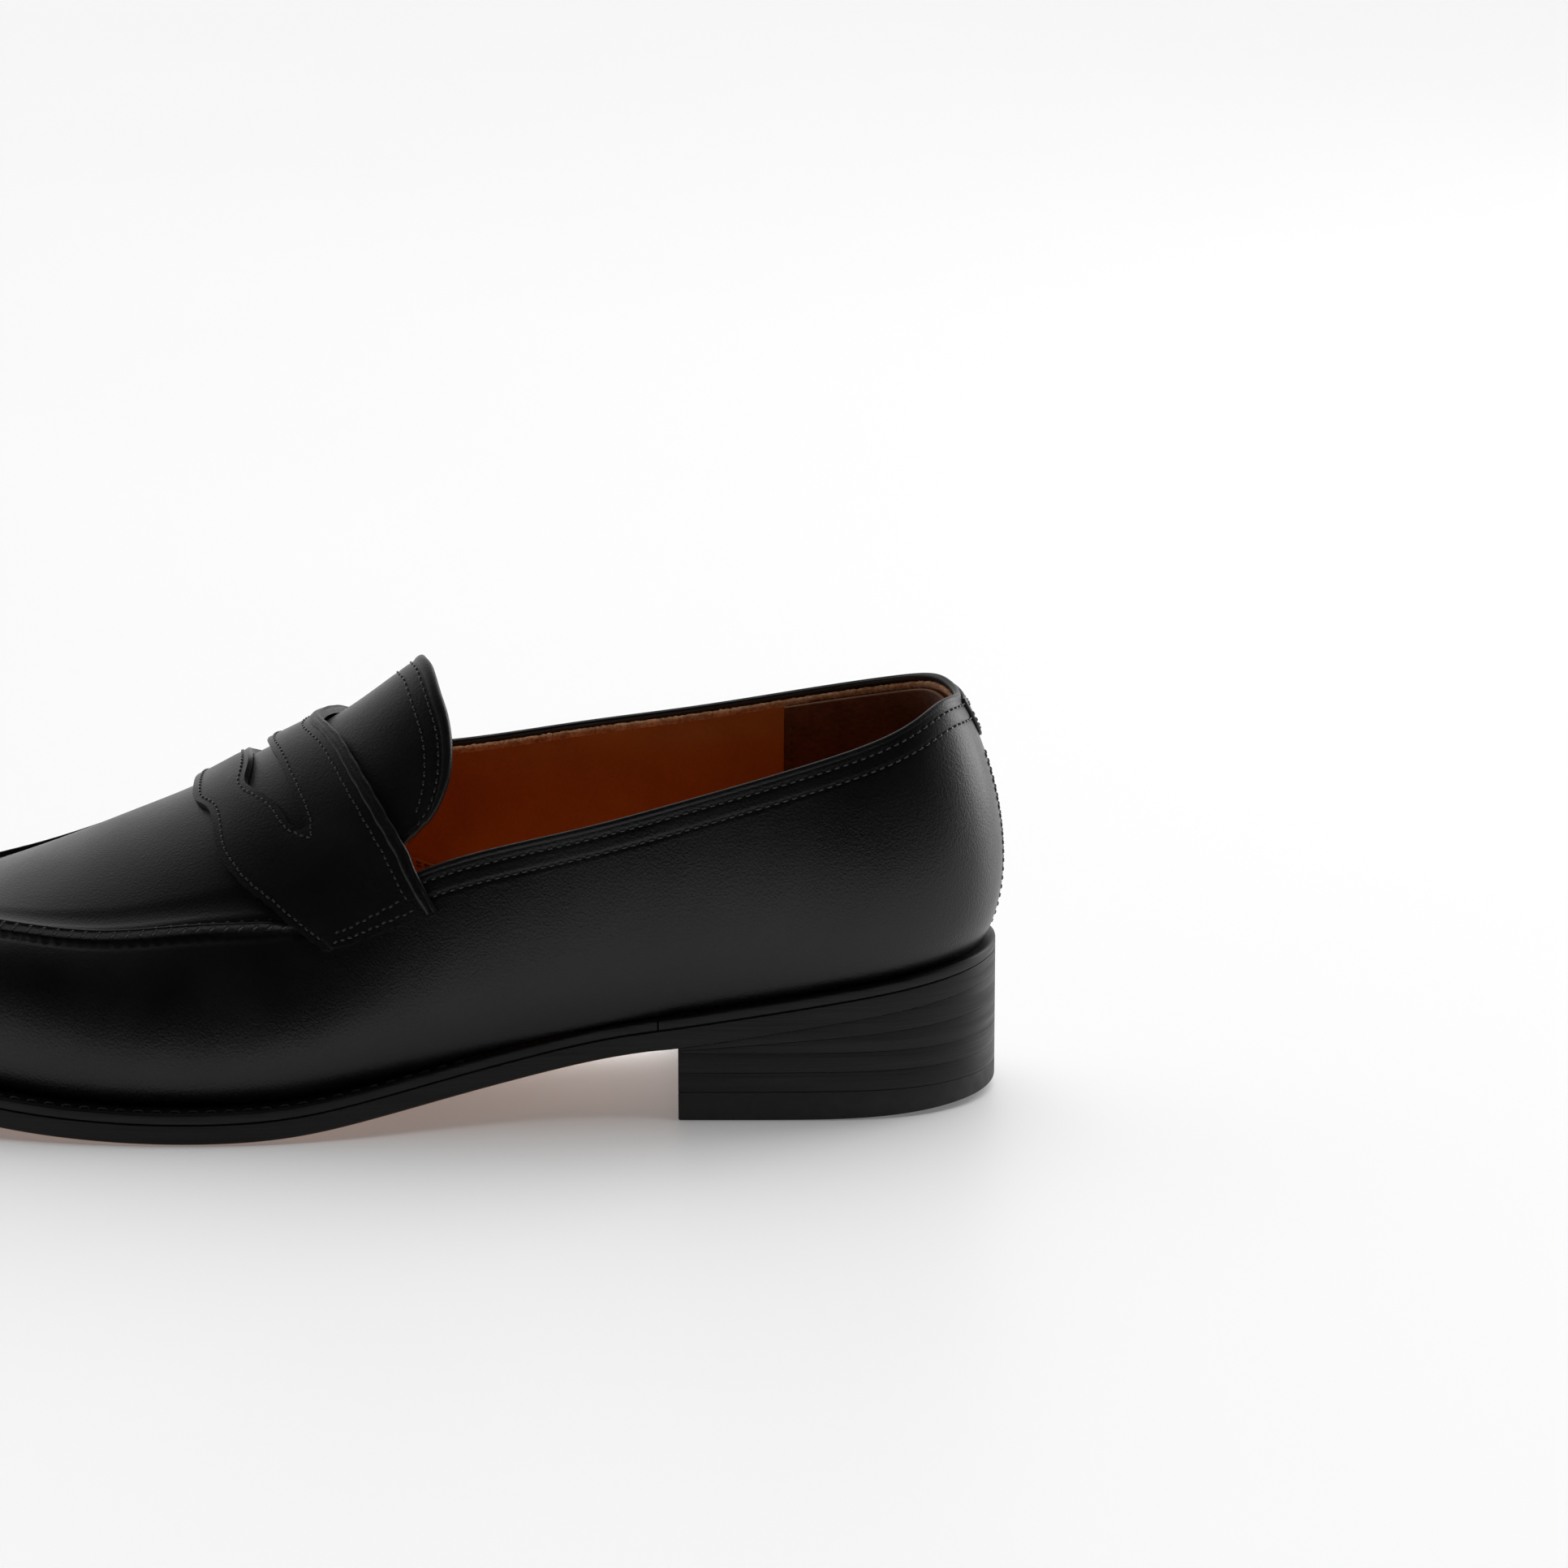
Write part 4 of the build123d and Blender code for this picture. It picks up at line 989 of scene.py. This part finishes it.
def strap_place(numbers, from_rear=None, from_front=None, share=None):
    """Points of the flat strap's rungs: mm from the rear or the front edge, or a share of the way between."""
    rear, front = strap_rear(numbers), strap_front(numbers)
    along = unit(front - rear)
    if from_rear is not None:
        return rear + along * from_rear
    if from_front is not None:
        return front - along * from_front
    return rear + (front - rear) * share[:, None]


def make_strap_piping():
    """Folded roll along the strap's rear edge, with a thin lip in front of it."""
    numbers = np.linspace(0.15, len(STRAP_RUNGS) - 1.05, 220)
    base = STRAP_LIFT + STRAP_THICK - 0.15
    profile = [(-0.1, -1.2), (-0.35, -0.3), (-0.3, 0.25), (0.0, 0.55), (0.35, 0.62), (0.6, 0.45), (0.72, 0.5),
               (1.1, 0.78), (1.6, 0.84), (2.05, 0.66), (2.3, 0.35), (2.42, 0.0), (2.4, -0.2), (1.2, -0.4)]
    rings = []
    for forward, high in profile:
        place = strap_place(numbers, from_rear=forward + 0.25)
        rings.append(on_instep(place[:, 0], place[:, 1], base + high))
    piece = swept("strap_piping_leather", np.stack(rings, 1), 50)
    give(piece, STRAP_CALF, node="strap_piping")


def make_strap_stitching():
    """Rows along both edges of the strap, across its lateral end and round the slot."""
    top = STRAP_LIFT + STRAP_THICK
    last = len(STRAP_RUNGS) - 1
    rows = []
    numbers = np.linspace(0.2, last - 0.55, 260)
    for place in (strap_place(numbers, from_rear=STRAP_REAR_ROW),
                  strap_place(numbers, from_front=STRAP_FRONT_ROW)):
        rows.append(instep_row(place[:, 0], place[:, 1], top - 0.08))
    for inset in STRAP_END_ROWS:          # across the lateral end, where a rung is 7.3 mm from the next
        share = np.linspace(0.13 + inset / 90, 0.94 - inset / 60, 40)
        along_end = strap_place(np.full(40, last - inset / 7.3), share=share)
        rows.append(instep_row(along_end[:, 0], along_end[:, 1], top - 0.04))
    _, inside, first, second, rear, front = strap_grid(STRAP_ROWS)
    reach = np.linalg.norm(front - rear, axis=1)
    rear_side = (rear + (front - rear) * (first - STRAP_SLOT_ROW / reach)[:, None])[inside]
    front_side = (rear + (front - rear) * (second + STRAP_SLOT_ROW / reach)[:, None])[inside]
    corner = rear_side[-1] + unit(rear_side[-1] - rear_side[-6]) * 3.0
    control = front_side[-1] + unit(front_side[-1] - front_side[-6]) * 2.0
    turn = np.linspace(0, 1, 12)[1:-1, None]
    end = (1 - turn) ** 2 * corner + 2 * turn * (1 - turn) * control + turn ** 2 * front_side[-1]
    loop = np.vstack([rear_side, corner, end, front_side[::-1]])
    rows.append(instep_row(loop[:, 0], loop[:, 1], top - 0.08))
    sew("strap_stitching", rows, BLACK_THREAD, STITCH_PITCH * 0.82, 0.72)


def bend(piece, material, node=None, slot=None):
    """A piece of the tongue, which lies on the shoe under the strap and is free at its end: its material is
    put on it and its CAD node hidden, it rides on no body, and its placement is baked into its mesh.
    """
    give(piece, material, None, node)
    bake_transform(piece)


def tongue_sheet(name, high, low, inset=0.0):
    """A sheet of the tongue between two lifts, from under the strap to its free edge."""
    girths = np.linspace(TONGUE_GIRTHS[0], TONGUE_GIRTHS[1] - inset, 190)
    rear = tongue_rear(girths) + inset
    front = strap_rear_x(girths) + TONGUE_HIDDEN
    share = np.linspace(0, 1, 42)
    x = front[:, None] + (rear - front)[:, None] * share[None, :]
    girth = np.broadcast_to(girths[:, None], x.shape)
    from_edge = np.minimum(x - tongue_rear(girth), (TONGUE_GIRTHS[1] - girth) * 1.2 + 0.6)
    dip = 0.12 * sum(groove(from_edge - row, 0.8) for row in TONGUE_ROWS)
    wave = 0.04 * sine_noise(girth * 0.3 + x * 0.25, 3.1)
    outer = on_instep(x, girth, high - dip * (low > -2.0) + wave)
    inner = on_instep(x, girth, low)
    return panel(name, panel_rings(outer, inner))


def make_tongue():
    """The tongue's leather, lining, folded edge and two rows of stitches."""
    leather = tongue_sheet("tongue_leather", TONGUE_LIFT, TONGUE_LIFT - TONGUE_THICK)
    bend(leather, CALF, "tongue", UPPER)
    under = TONGUE_LIFT - TONGUE_THICK - GAP
    lining = tongue_sheet("tongue_lining_leather", under, under - TONGUE_LINING, 0.35)
    bend(lining, LINING_TAN, "tongue_lining", LINING_SLOT)
    girths = np.linspace(TONGUE_GIRTHS[0] + 0.4, TONGUE_GIRTHS[1] - 0.4, 240)
    middle = TONGUE_LIFT - (TONGUE_THICK + TONGUE_LINING) / 2
    profile = [(1.9, 1.05), (1.5, 1.26), (0.9, 1.36), (0.3, 1.30), (-0.15, 1.02), (-0.36, 0.5), (-0.40, 0.0),
               (-0.36, -0.5), (-0.15, -1.0), (0.3, -1.22), (0.9, -1.28), (1.3, -1.16)]
    rings = [on_instep(tongue_rear(girths) + forward, girths, middle + high) for forward, high in profile]
    binding = swept("tongue_edge_binding", np.stack(rings, 1), SHARP)
    bend(binding, CALF, "tongue_binding", UPPER)
    rows = []
    for inset in TONGUE_ROWS:
        row_girths = np.linspace(TONGUE_GIRTHS[0] + inset, TONGUE_GIRTHS[1] - inset * 0.9, 260)
        rows.append(instep_row(tongue_rear(row_girths) + inset, row_girths, TONGUE_LIFT - 0.08))
    thread = stitches("tongue_stitching", rows, STITCH_PITCH, 0.7, THREAD)
    bend(thread, BLACK_THREAD, None, UPPER)


def make_topline():
    """Rolled edge of the quarters, the raw edge of the lining inside it, and the two rows of stitches."""
    start, end = station_at(BEAD_ENDS[1], False), station_at(BEAD_ENDS[0], True) + ROUND
    ts = np.linspace(start, end, 620)
    top = wall_point(ts, 1.0)
    facing = wall(ts, 1.0, np.ones_like(ts)) - top
    up = unit(top - wall_point(ts, 0.98))
    middle = top - facing * (LEATHER / 2)
    # (outwards, up) from the middle of the leather's top; the notch on top is where the fold's edge lies
    profile = [(0.70, -0.5), (0.86, 0.0), (0.88, 0.45), (0.70, 0.85), (0.40, 1.06), (0.12, 1.08),
               (-0.02, 0.98), (-0.14, 1.06), (-0.42, 1.08), (-0.70, 0.88), (-0.86, 0.50), (-0.90, 0.0),
               (-0.90, -0.55), (-0.72, -0.7)]
    rings = np.stack([middle + facing * out + up * high for out, high in profile], 1)
    bead = swept("topline_rolled_edge", rings, SHARP)
    give(bead, CALF, node="topline_bead")
    depth = LEATHER + GAP
    fray = 0.16 * sine_noise(ts * 6.3, 0.3) + 0.12 * sine_noise(ts * 15.1, 1.9)
    profile = [(depth + 0.10, -2.3), (depth - 0.02, -1.0), (depth + 0.15, -0.45), (depth + 0.45, -0.35),
               (depth + LINING - 0.1, -0.55), (depth + LINING + 0.14, -1.0), (depth + LINING + 0.16, -1.6),
               (depth + LINING - 0.05, -2.3)]
    fray = fray[:, None]
    rings = np.stack([top - facing * (deep + fray * 0.5 * (deep > depth + 0.3)) + up * (high + fray)
                      for deep, high in profile], 1)
    raw = swept("lining_raw_edge", rings)
    give(raw, RAW_EDGE)
    rows = [wall_row(ts, below_top(ts, row), -0.12) for row in ROWS_BELOW_EDGE]
    sew("topline_stitching", rows, BLACK_THREAD)


def make_heel_tab():
    """Small curved tab over the back seam, stitched round its lower edge."""
    ts = np.linspace(-TAB_REACH, TAB_REACH, 90)
    low = TAB_TOP - TAB_DROP * (1 - np.abs(ts / TAB_REACH) ** 2.6) - 0.012
    v = low[:, None] + (TAB_TOP - low)[:, None] * np.linspace(0, 1, 14)[None, :]
    t = np.broadcast_to(ts[:, None], v.shape) + TAB_MIDDLE
    piece = panel("heel_tab_leather", panel_rings(wall(t, v, TAB_THICK), wall(t, v, 0.0)))
    give(piece, CALF, node="heel_tab")
    inner = ts[np.abs(ts) < TAB_REACH - 1.6]
    lower = TAB_TOP - TAB_DROP * (1 - np.abs(inner / TAB_REACH) ** 2.6) + 0.008
    rows = [wall_row(inner + TAB_MIDDLE, height, 0.75)
            for height in (lower, np.full_like(inner, TAB_TOP - 0.03))]
    rise = np.linspace(0.06, 0.81, 200)
    rows += [wall_row(np.full_like(rise, t), rise, -0.08) for t in (1.7, ROUND - 1.7)]
    sew("heel_tab_and_back_seam_stitching", rows, BLACK_THREAD)


# ---- linings ----

def lining_depth(t, v):
    """Depth of the lining's outer face: behind the leather, and behind the stiffeners where they are."""
    back = np.minimum(t % ROUND, ROUND - t % ROUND)
    heel = ease((COUNTER_REACH + 22 - back) / 20)
    toe = ease((PUFF_REACH + 22 - np.abs(t % ROUND - TOE)) / 20)
    room = np.maximum(heel, toe) * ease((0.97 - v) / 0.12)
    return LEATHER + GAP + room * (STIFFENER + GAP)


def lining_panel(name, start, end, top, material, node, depth=None, thick=LINING):
    """A panel from start to end round the shoe, up to top(t), behind the stiffeners or at a set depth."""
    ts = np.linspace(start, end, max(30, int(abs(end - start) / 1.6)))
    t, v = np.meshgrid(ts, np.linspace(0, 1, 44), indexing="ij")
    v = v * top(t)
    deep = lining_depth(t, v) if depth is None else np.full_like(t, depth)
    wave = 0.05 * sine_noise(t * 0.4 + v * 14, 0.9) * ease(v * 4) * ease((1 - v) * 6)
    piece = panel(name, panel_rings(wall(t, v, -deep - thick - wave), wall(t, v, -deep)))
    give(piece, material, node=node)


def make_lining_wings():
    """Rear ends of the vamp lining, lapped over the quarter linings and sewn down along a slanting edge."""
    rise = np.linspace(0.05, 0.92, 60)
    edge_x = table({0.0: 92.0, 0.3: 112.0, 0.46: 134.0, 0.56: 148.0, 0.72: 158.0, 1.0: 164.0})(rise)
    rows = []
    for side in ("lateral", "medial"):
        edge, front = (foot_station(x, side == "lateral", 1500) for x in (edge_x, WING_FRONT_X))
        t = edge[:, None] + (front - edge)[:, None] * np.linspace(0, 1, 30)[None, :]
        v = np.broadcast_to(rise[:, None], t.shape)
        deep = lining_depth(t, v) + LINING + 0.03
        rings = panel_rings(wall(t, v, -deep - WING_THICK), wall(t, v, -deep))
        give(panel("vamp_lining_wing_" + side, rings), LINING_TAN)
        for inset in (1.5, 3.6):
            rows.append(lining_row(edge + inset * np.sign(front - edge), rise, deep[:, 0] + 0.72))
    sew("lining_wing_stitching", rows, BROWN_THREAD, share=0.72)


def make_linings():
    """The three lining panels with their seams, the wings, and the suede grip in the heel."""
    lateral, medial = station_at(LINING_SEAM_X, True), station_at(LINING_SEAM_X, False)
    for node, start, end, top in (
            ("quarter_lining_lateral", BACK_SEAM, lateral, lambda t: below_top(t, 0.9)),
            ("quarter_lining_medial", medial, ROUND - BACK_SEAM, lambda t: below_top(t, 0.9)),
            ("vamp_lining", lateral + 0.3, medial - 0.3, lambda t: 0.93)):
        lining_panel(node + "_leather", start, end, top, LINING_TAN, node)
    rows = []
    for seam in (lateral - 1.6, lateral - 3.2, medial + 1.6, medial + 3.2):
        rise = np.linspace(0.1, 0.94, 160)
        ts = np.full_like(rise, seam)
        rows.append(lining_row(ts, rise, lining_depth(ts, rise) + LINING - 0.02))
    sew("lining_seam_stitching", rows, BROWN_THREAD)
    make_lining_wings()
    deep = LEATHER + STIFFENER + LINING + 3 * GAP
    lining_panel("heel_grip_suede", -GRIP_REACH, GRIP_REACH, lambda t: below_top(t, 1.5), SUEDE, "heel_grip",
                 deep, GRIP_THICK)
    rows = []
    for seam in (-GRIP_REACH + 1.8, GRIP_REACH - 1.8):
        rise = np.linspace(0.14, 0.92, 140)
        rows.append(lining_row(np.full_like(rise, seam), rise, deep + GRIP_THICK - 0.05))
    sew("heel_grip_stitching", rows, BROWN_THREAD)


# ---- sole and heel ----
def chords(reach, rows, columns, start=0.0, end=1.0):
    """Plan grid whose rows join the lateral and the medial outline, from the back to the toe."""
    share = start + (end - start) * (1 - np.cos(np.linspace(0, math.pi, rows))) / 2
    sides = []
    for ts in (TOE * share, ROUND + (TOE - ROUND) * share):
        foot = PLAN(ts)
        sides.append(foot + outward(PLAN, ts) * np.asarray(reach(foot[:, 0]))[..., None])
    across = np.linspace(0, 1, columns)[None, :, None]
    return sides[0][:, None] * (1 - across) + sides[1][:, None] * across


def sole_at(height):
    """A level of the sole, a height above its underside."""
    return lambda x: sole_height(x) + height


def make_outsole():
    """Outsole, inked at its edge and tan below, rounder under the forefoot than at the heel."""
    low_round, high_round = 1.1, 0.35
    plan = chords(lambda x: edge_reach(x) - low_round, 240, 24)
    piece = plate("outsole_leather", plan, sole_at(0.0), sole_at(OUTSOLE_THICK), low_round, high_round, 6,
                  lambda x: 0.1 + 0.9 * ease((x - BREAST_X) / 8))
    give(piece, EDGE_INK, node="outsole")
    paint(piece, SOLE_TAN, lambda centres, normals: normals[:, 2] < -0.8)


def welt_strip(name, x, ahead, node):
    """Strip round the upper, either ahead of x or behind it, its top face dipped along the stitches."""
    lateral, medial = foot_station(x, True), foot_station(x, False)
    ts = np.arange(lateral, medial, 0.9) if ahead else np.arange(medial - ROUND, lateral, 0.9)
    foot, out = PLAN(ts), outward(PLAN, ts)
    reach = edge_reach(foot[:, 0])
    base, top = OUTSOLE_THICK + GAP, SOLE_THICK
    stitched = ease((reach - 2.6) / 1.5)
    dip = 0.35 * stitched
    inner, under = np.full_like(reach, -WELT_INSET), np.minimum(reach - 3.1, 0.6)
    profile = [(reach - 0.35, base), (reach - 0.08, base + 0.12), (reach, base + 0.4), (reach, top - 0.7),
               (reach - 0.10, top - 0.32), (reach - 0.32, top - 0.09), (reach - 0.65, top),
               (reach - 1.3, top - dip * 0.2), (reach - WELT_ROW, top - dip), (reach - 2.5, top - dip * 0.2),
               (under, top), (inner, top), (inner, base), (under, base), (reach - WELT_ROW, base),
               (reach - 1.0, base)]
    rings = []
    for distance, height in profile:
        spot = foot + out * distance[:, None]
        rings.append(np.column_stack([spot, sole_height(spot[:, 0]) + height]))
    piece = swept(name, np.stack(rings, 1), SHARP)
    give(piece, EDGE_INK, node=node)
    return foot, out, reach, stitched


def make_welt():
    """Stitched welt round the forefoot and the plain rand round the heel."""
    foot, out, reach, stitched = welt_strip("welt_leather", RAND_X + GAP, True, "welt")
    welt_strip("heel_rand_leather", RAND_X, False, "heel_rand")
    keep = stitched > 0.25
    spot = foot[keep] + out[keep] * (reach[keep] - WELT_ROW)[:, None]
    path = np.column_stack([spot, sole_height(spot[:, 0]) + SOLE_THICK - 0.35])
    rows = [(path, np.tile([0.0, 0.0, 1.0], (len(path), 1)))]
    sew("welt_stitching", rows, BLACK_THREAD, WELT_PITCH, 0.72, WELT_CORD)


def heel_plan(inset):
    """Plan grid of the heel, from the back to the hollowed breast."""
    end = foot_station(BREAST_X - inset, True) / TOE
    plan = chords(lambda x: edge_reach(x) - inset, 60, 22, 0.0, end)
    share = (plan[:, :, 0] - plan[:1, :1, 0]) / (plan[-1:, :1, 0] - plan[:1, :1, 0])
    half = np.abs(plan[:, :1, 1] - plan[:, -1:, 1]) / 2 + 1e-6
    middle = (plan[:, :1, 1] + plan[:, -1:, 1]) / 2
    hollow = BREAST_HOLLOW * (1 - ((plan[:, :, 1] - middle) / half) ** 2)
    plan[:, :, 0] -= hollow * np.clip(share, 0, 1) ** 5
    plan[-1, :, 0] = BREAST_X - inset - hollow[-1]
    return plan


def heel_bottom(x):
    """Standing face of the heel, which rises a little at the very back."""
    return HEEL_TOE_RISE * (np.maximum(HEEL_FLAT_X - x, 0) / HEEL_FLAT_X) ** 2


def wedge(share):
    """A level a share of the way from the flat lifts up to the sole."""
    flat = TOP_PIECE_THICK + 2 * LIFT_THICK
    return lambda x: flat + (sole_height(x) - flat) * share


def level(height):
    return lambda x: np.full_like(x, height)


def make_heel():
    """The heel's layers from the floor up: slot, material, bottom, top and the rounding of each rim."""
    layers = [
        ("top_piece", "top_piece_rubber", RUBBER, heel_bottom, level(TOP_PIECE_THICK), 0.35, 0.16),
        ("heel_lift_lower", EDGE_SLOT, EDGE_INK, level(TOP_PIECE_THICK + GAP / 2),
         level(TOP_PIECE_THICK + LIFT_THICK), 0.12, 0.05),
        ("heel_lift_upper", EDGE_SLOT, EDGE_INK, level(TOP_PIECE_THICK + LIFT_THICK + GAP / 2), wedge(0.0),
         0.05, 0.05),
        ("heel_wedge_lower", EDGE_SLOT, EDGE_INK, lambda x: wedge(0.0)(x) + GAP / 2, wedge(0.5), 0.05, 0.05),
        ("heel_wedge_upper", EDGE_SLOT, EDGE_INK, lambda x: wedge(0.5)(x) + GAP / 2, wedge(1.0), 0.05, 0.08),
    ]
    breast = home((BREAST_X - BREAST_HOLLOW - 1.0, 0, 0))[0]
    for node, slot, material, bottom, top, low_round, high_round in layers:
        plan = heel_plan(max(low_round, high_round))
        piece = plate(node + "_layer", plan, bottom, top, low_round, high_round, 4)
        give(piece, material, node=node)
        if material is EDGE_INK:
            paint(piece, SOLE_TAN, lambda centres, normals: (normals[:, 0] > 0.7) & (centres[:, 0] > breast))


def make_sock():
    """Sock liner over the insole."""
    base = SOLE_THICK + GAP + INSOLE_THICK + GAP
    plan = chords(lambda x: np.full_like(x, -5.4), 160, 20)
    piece = plate("sock_liner_leather", plan, sole_at(base), sole_at(base + SOCK_THICK), 0.4, 0.4, 4)
    give(piece, LINING_TAN, node="sock_liner")


def finish_cad_nodes():
    """Materials of the CAD parts whose shape stays."""
    kept = {"shank": STEEL, "heel_nails": STEEL, "top_piece_nails": BRASS, "cork_filler": CORK,
            "insole": INSOLE_TAN, "heel_seat": INSOLE_TAN, "heel_counter": BOARD, "toe_puff": BOARD,
            "apron_lining": LINING_TAN, "strap": STRAP_CALF, "outsole": SOLE_TAN, "top_piece": RUBBER,
            "heel_grip": SUEDE}
    for name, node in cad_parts.items():
        leather = LINING_TAN if "lining" in name or "sock" in name else CALF
        if name.startswith("heel_") and name != "heel_tab":
            leather = EDGE_INK
        node.data.materials.clear()
        node.data.materials.append(kept.get(name, leather))


make_skirt()
make_apron()
make_ridge()
make_strap()
make_strap_piping()
make_strap_stitching()
make_tongue()
make_topline()
make_heel_tab()
make_linings()
make_outsole()
make_welt()
make_heel()
make_sock()
finish_cad_nodes()


# ---- studio: metres and degrees ----
FLOOR_HALF = 30.0
FLOOR_DROP = 0.0002
SURROUND = ((0.0, 0.004), (0.30, 0.012), (0.5, 0.16), (0.75, 0.75), (1.0, 1.0))   # greys from front to back
CAMERA_PLACE = (-0.0939, 1.39956, 0.4194)
CAMERA_DOWN = 13.817
CAMERA_LENS = 137.57      # mm, on a sensor 36 mm wide


def put(name, data, place=(0, 0, 0), turn=(0, 0, 0)):
    """A new object in the scene at a place, turned by degrees."""
    made = bpy.data.objects.new(name, data)
    bpy.context.scene.collection.objects.link(made)
    made.location = place
    made.rotation_euler = [math.radians(angle) for angle in turn]
    return made


def make_floor():
    """Pale seamless floor, a hair below the shoe."""
    mesh = bpy.data.meshes.new("floor")
    corners = [(FLOOR_HALF * x, FLOOR_HALF * y, 0) for x, y in ((-1, -1), (1, -1), (1, 1), (-1, 1))]
    mesh.from_pydata(corners, [], [(0, 1, 2, 3)])
    floor = put("floor", mesh, (0, 0, -FLOOR_DROP))
    look = Look("floor_white", Roughness=0.45, Emission_Strength=0.15, Specular_IOR_Level=0.3)
    look.shader.inputs["Emission Color"].default_value = (1, 1, 1, 1)
    mottle = look.noise(3.0, 2)
    colour = look.ramp(mottle, (0.3, (0.80, 0.80, 0.80)), (0.7, (0.81, 0.81, 0.81)))
    mesh.materials.append(look.finish(Base_Color=colour))


def make_world():
    """Soft surround: bright behind the shoe, grey overhead, dark in front."""
    world = bpy.data.worlds.new("studio")
    tree = Tree(world, "Background", "Generated")
    share = tree.between(tree.node("SeparateXYZ", Vector=tree.place).outputs["Y"], 0.0, 1.0, 1.0, -1.0)
    tree.finish(Color=tree.ramp(share, *[(position, (grey,) * 3) for position, grey in SURROUND]))
    bpy.context.scene.world = world


def add_light(name, kind, place, turn, **settings):
    light = bpy.data.lights.new(name, kind)
    for key, value in settings.items():
        setattr(light, key, value)
    return put(name, light, place, turn)


def make_lights():
    """A broad key light from behind and from the heel's side, and a tall softbox beyond the heel, which draws
    the bright rim down the back of the shoe."""
    key = add_light("key", "SUN", (0, 0, 0), (20, -16, 0), angle=math.radians(75), energy=2.0)
    key.visible_glossy = False
    add_light("rim_softbox", "AREA", (-1.5, -0.9, 0.5), (75, 0, -59), shape="RECTANGLE", size=0.9, size_y=1.1,
              energy=10)


def make_camera():
    """Long lens at about 1.4 m on the outer side, looking slightly down."""
    camera = bpy.data.cameras.new("camera")
    camera.lens = CAMERA_LENS
    camera.sensor_width = 36.0
    camera.clip_start = 0.05
    camera.clip_end = 100.0
    bpy.context.scene.camera = put("camera", camera, CAMERA_PLACE, (90 - CAMERA_DOWN, 0, 180))


make_floor()
make_world()
make_lights()
make_camera()
bpy.context.scene.view_settings.view_transform = "Standard"
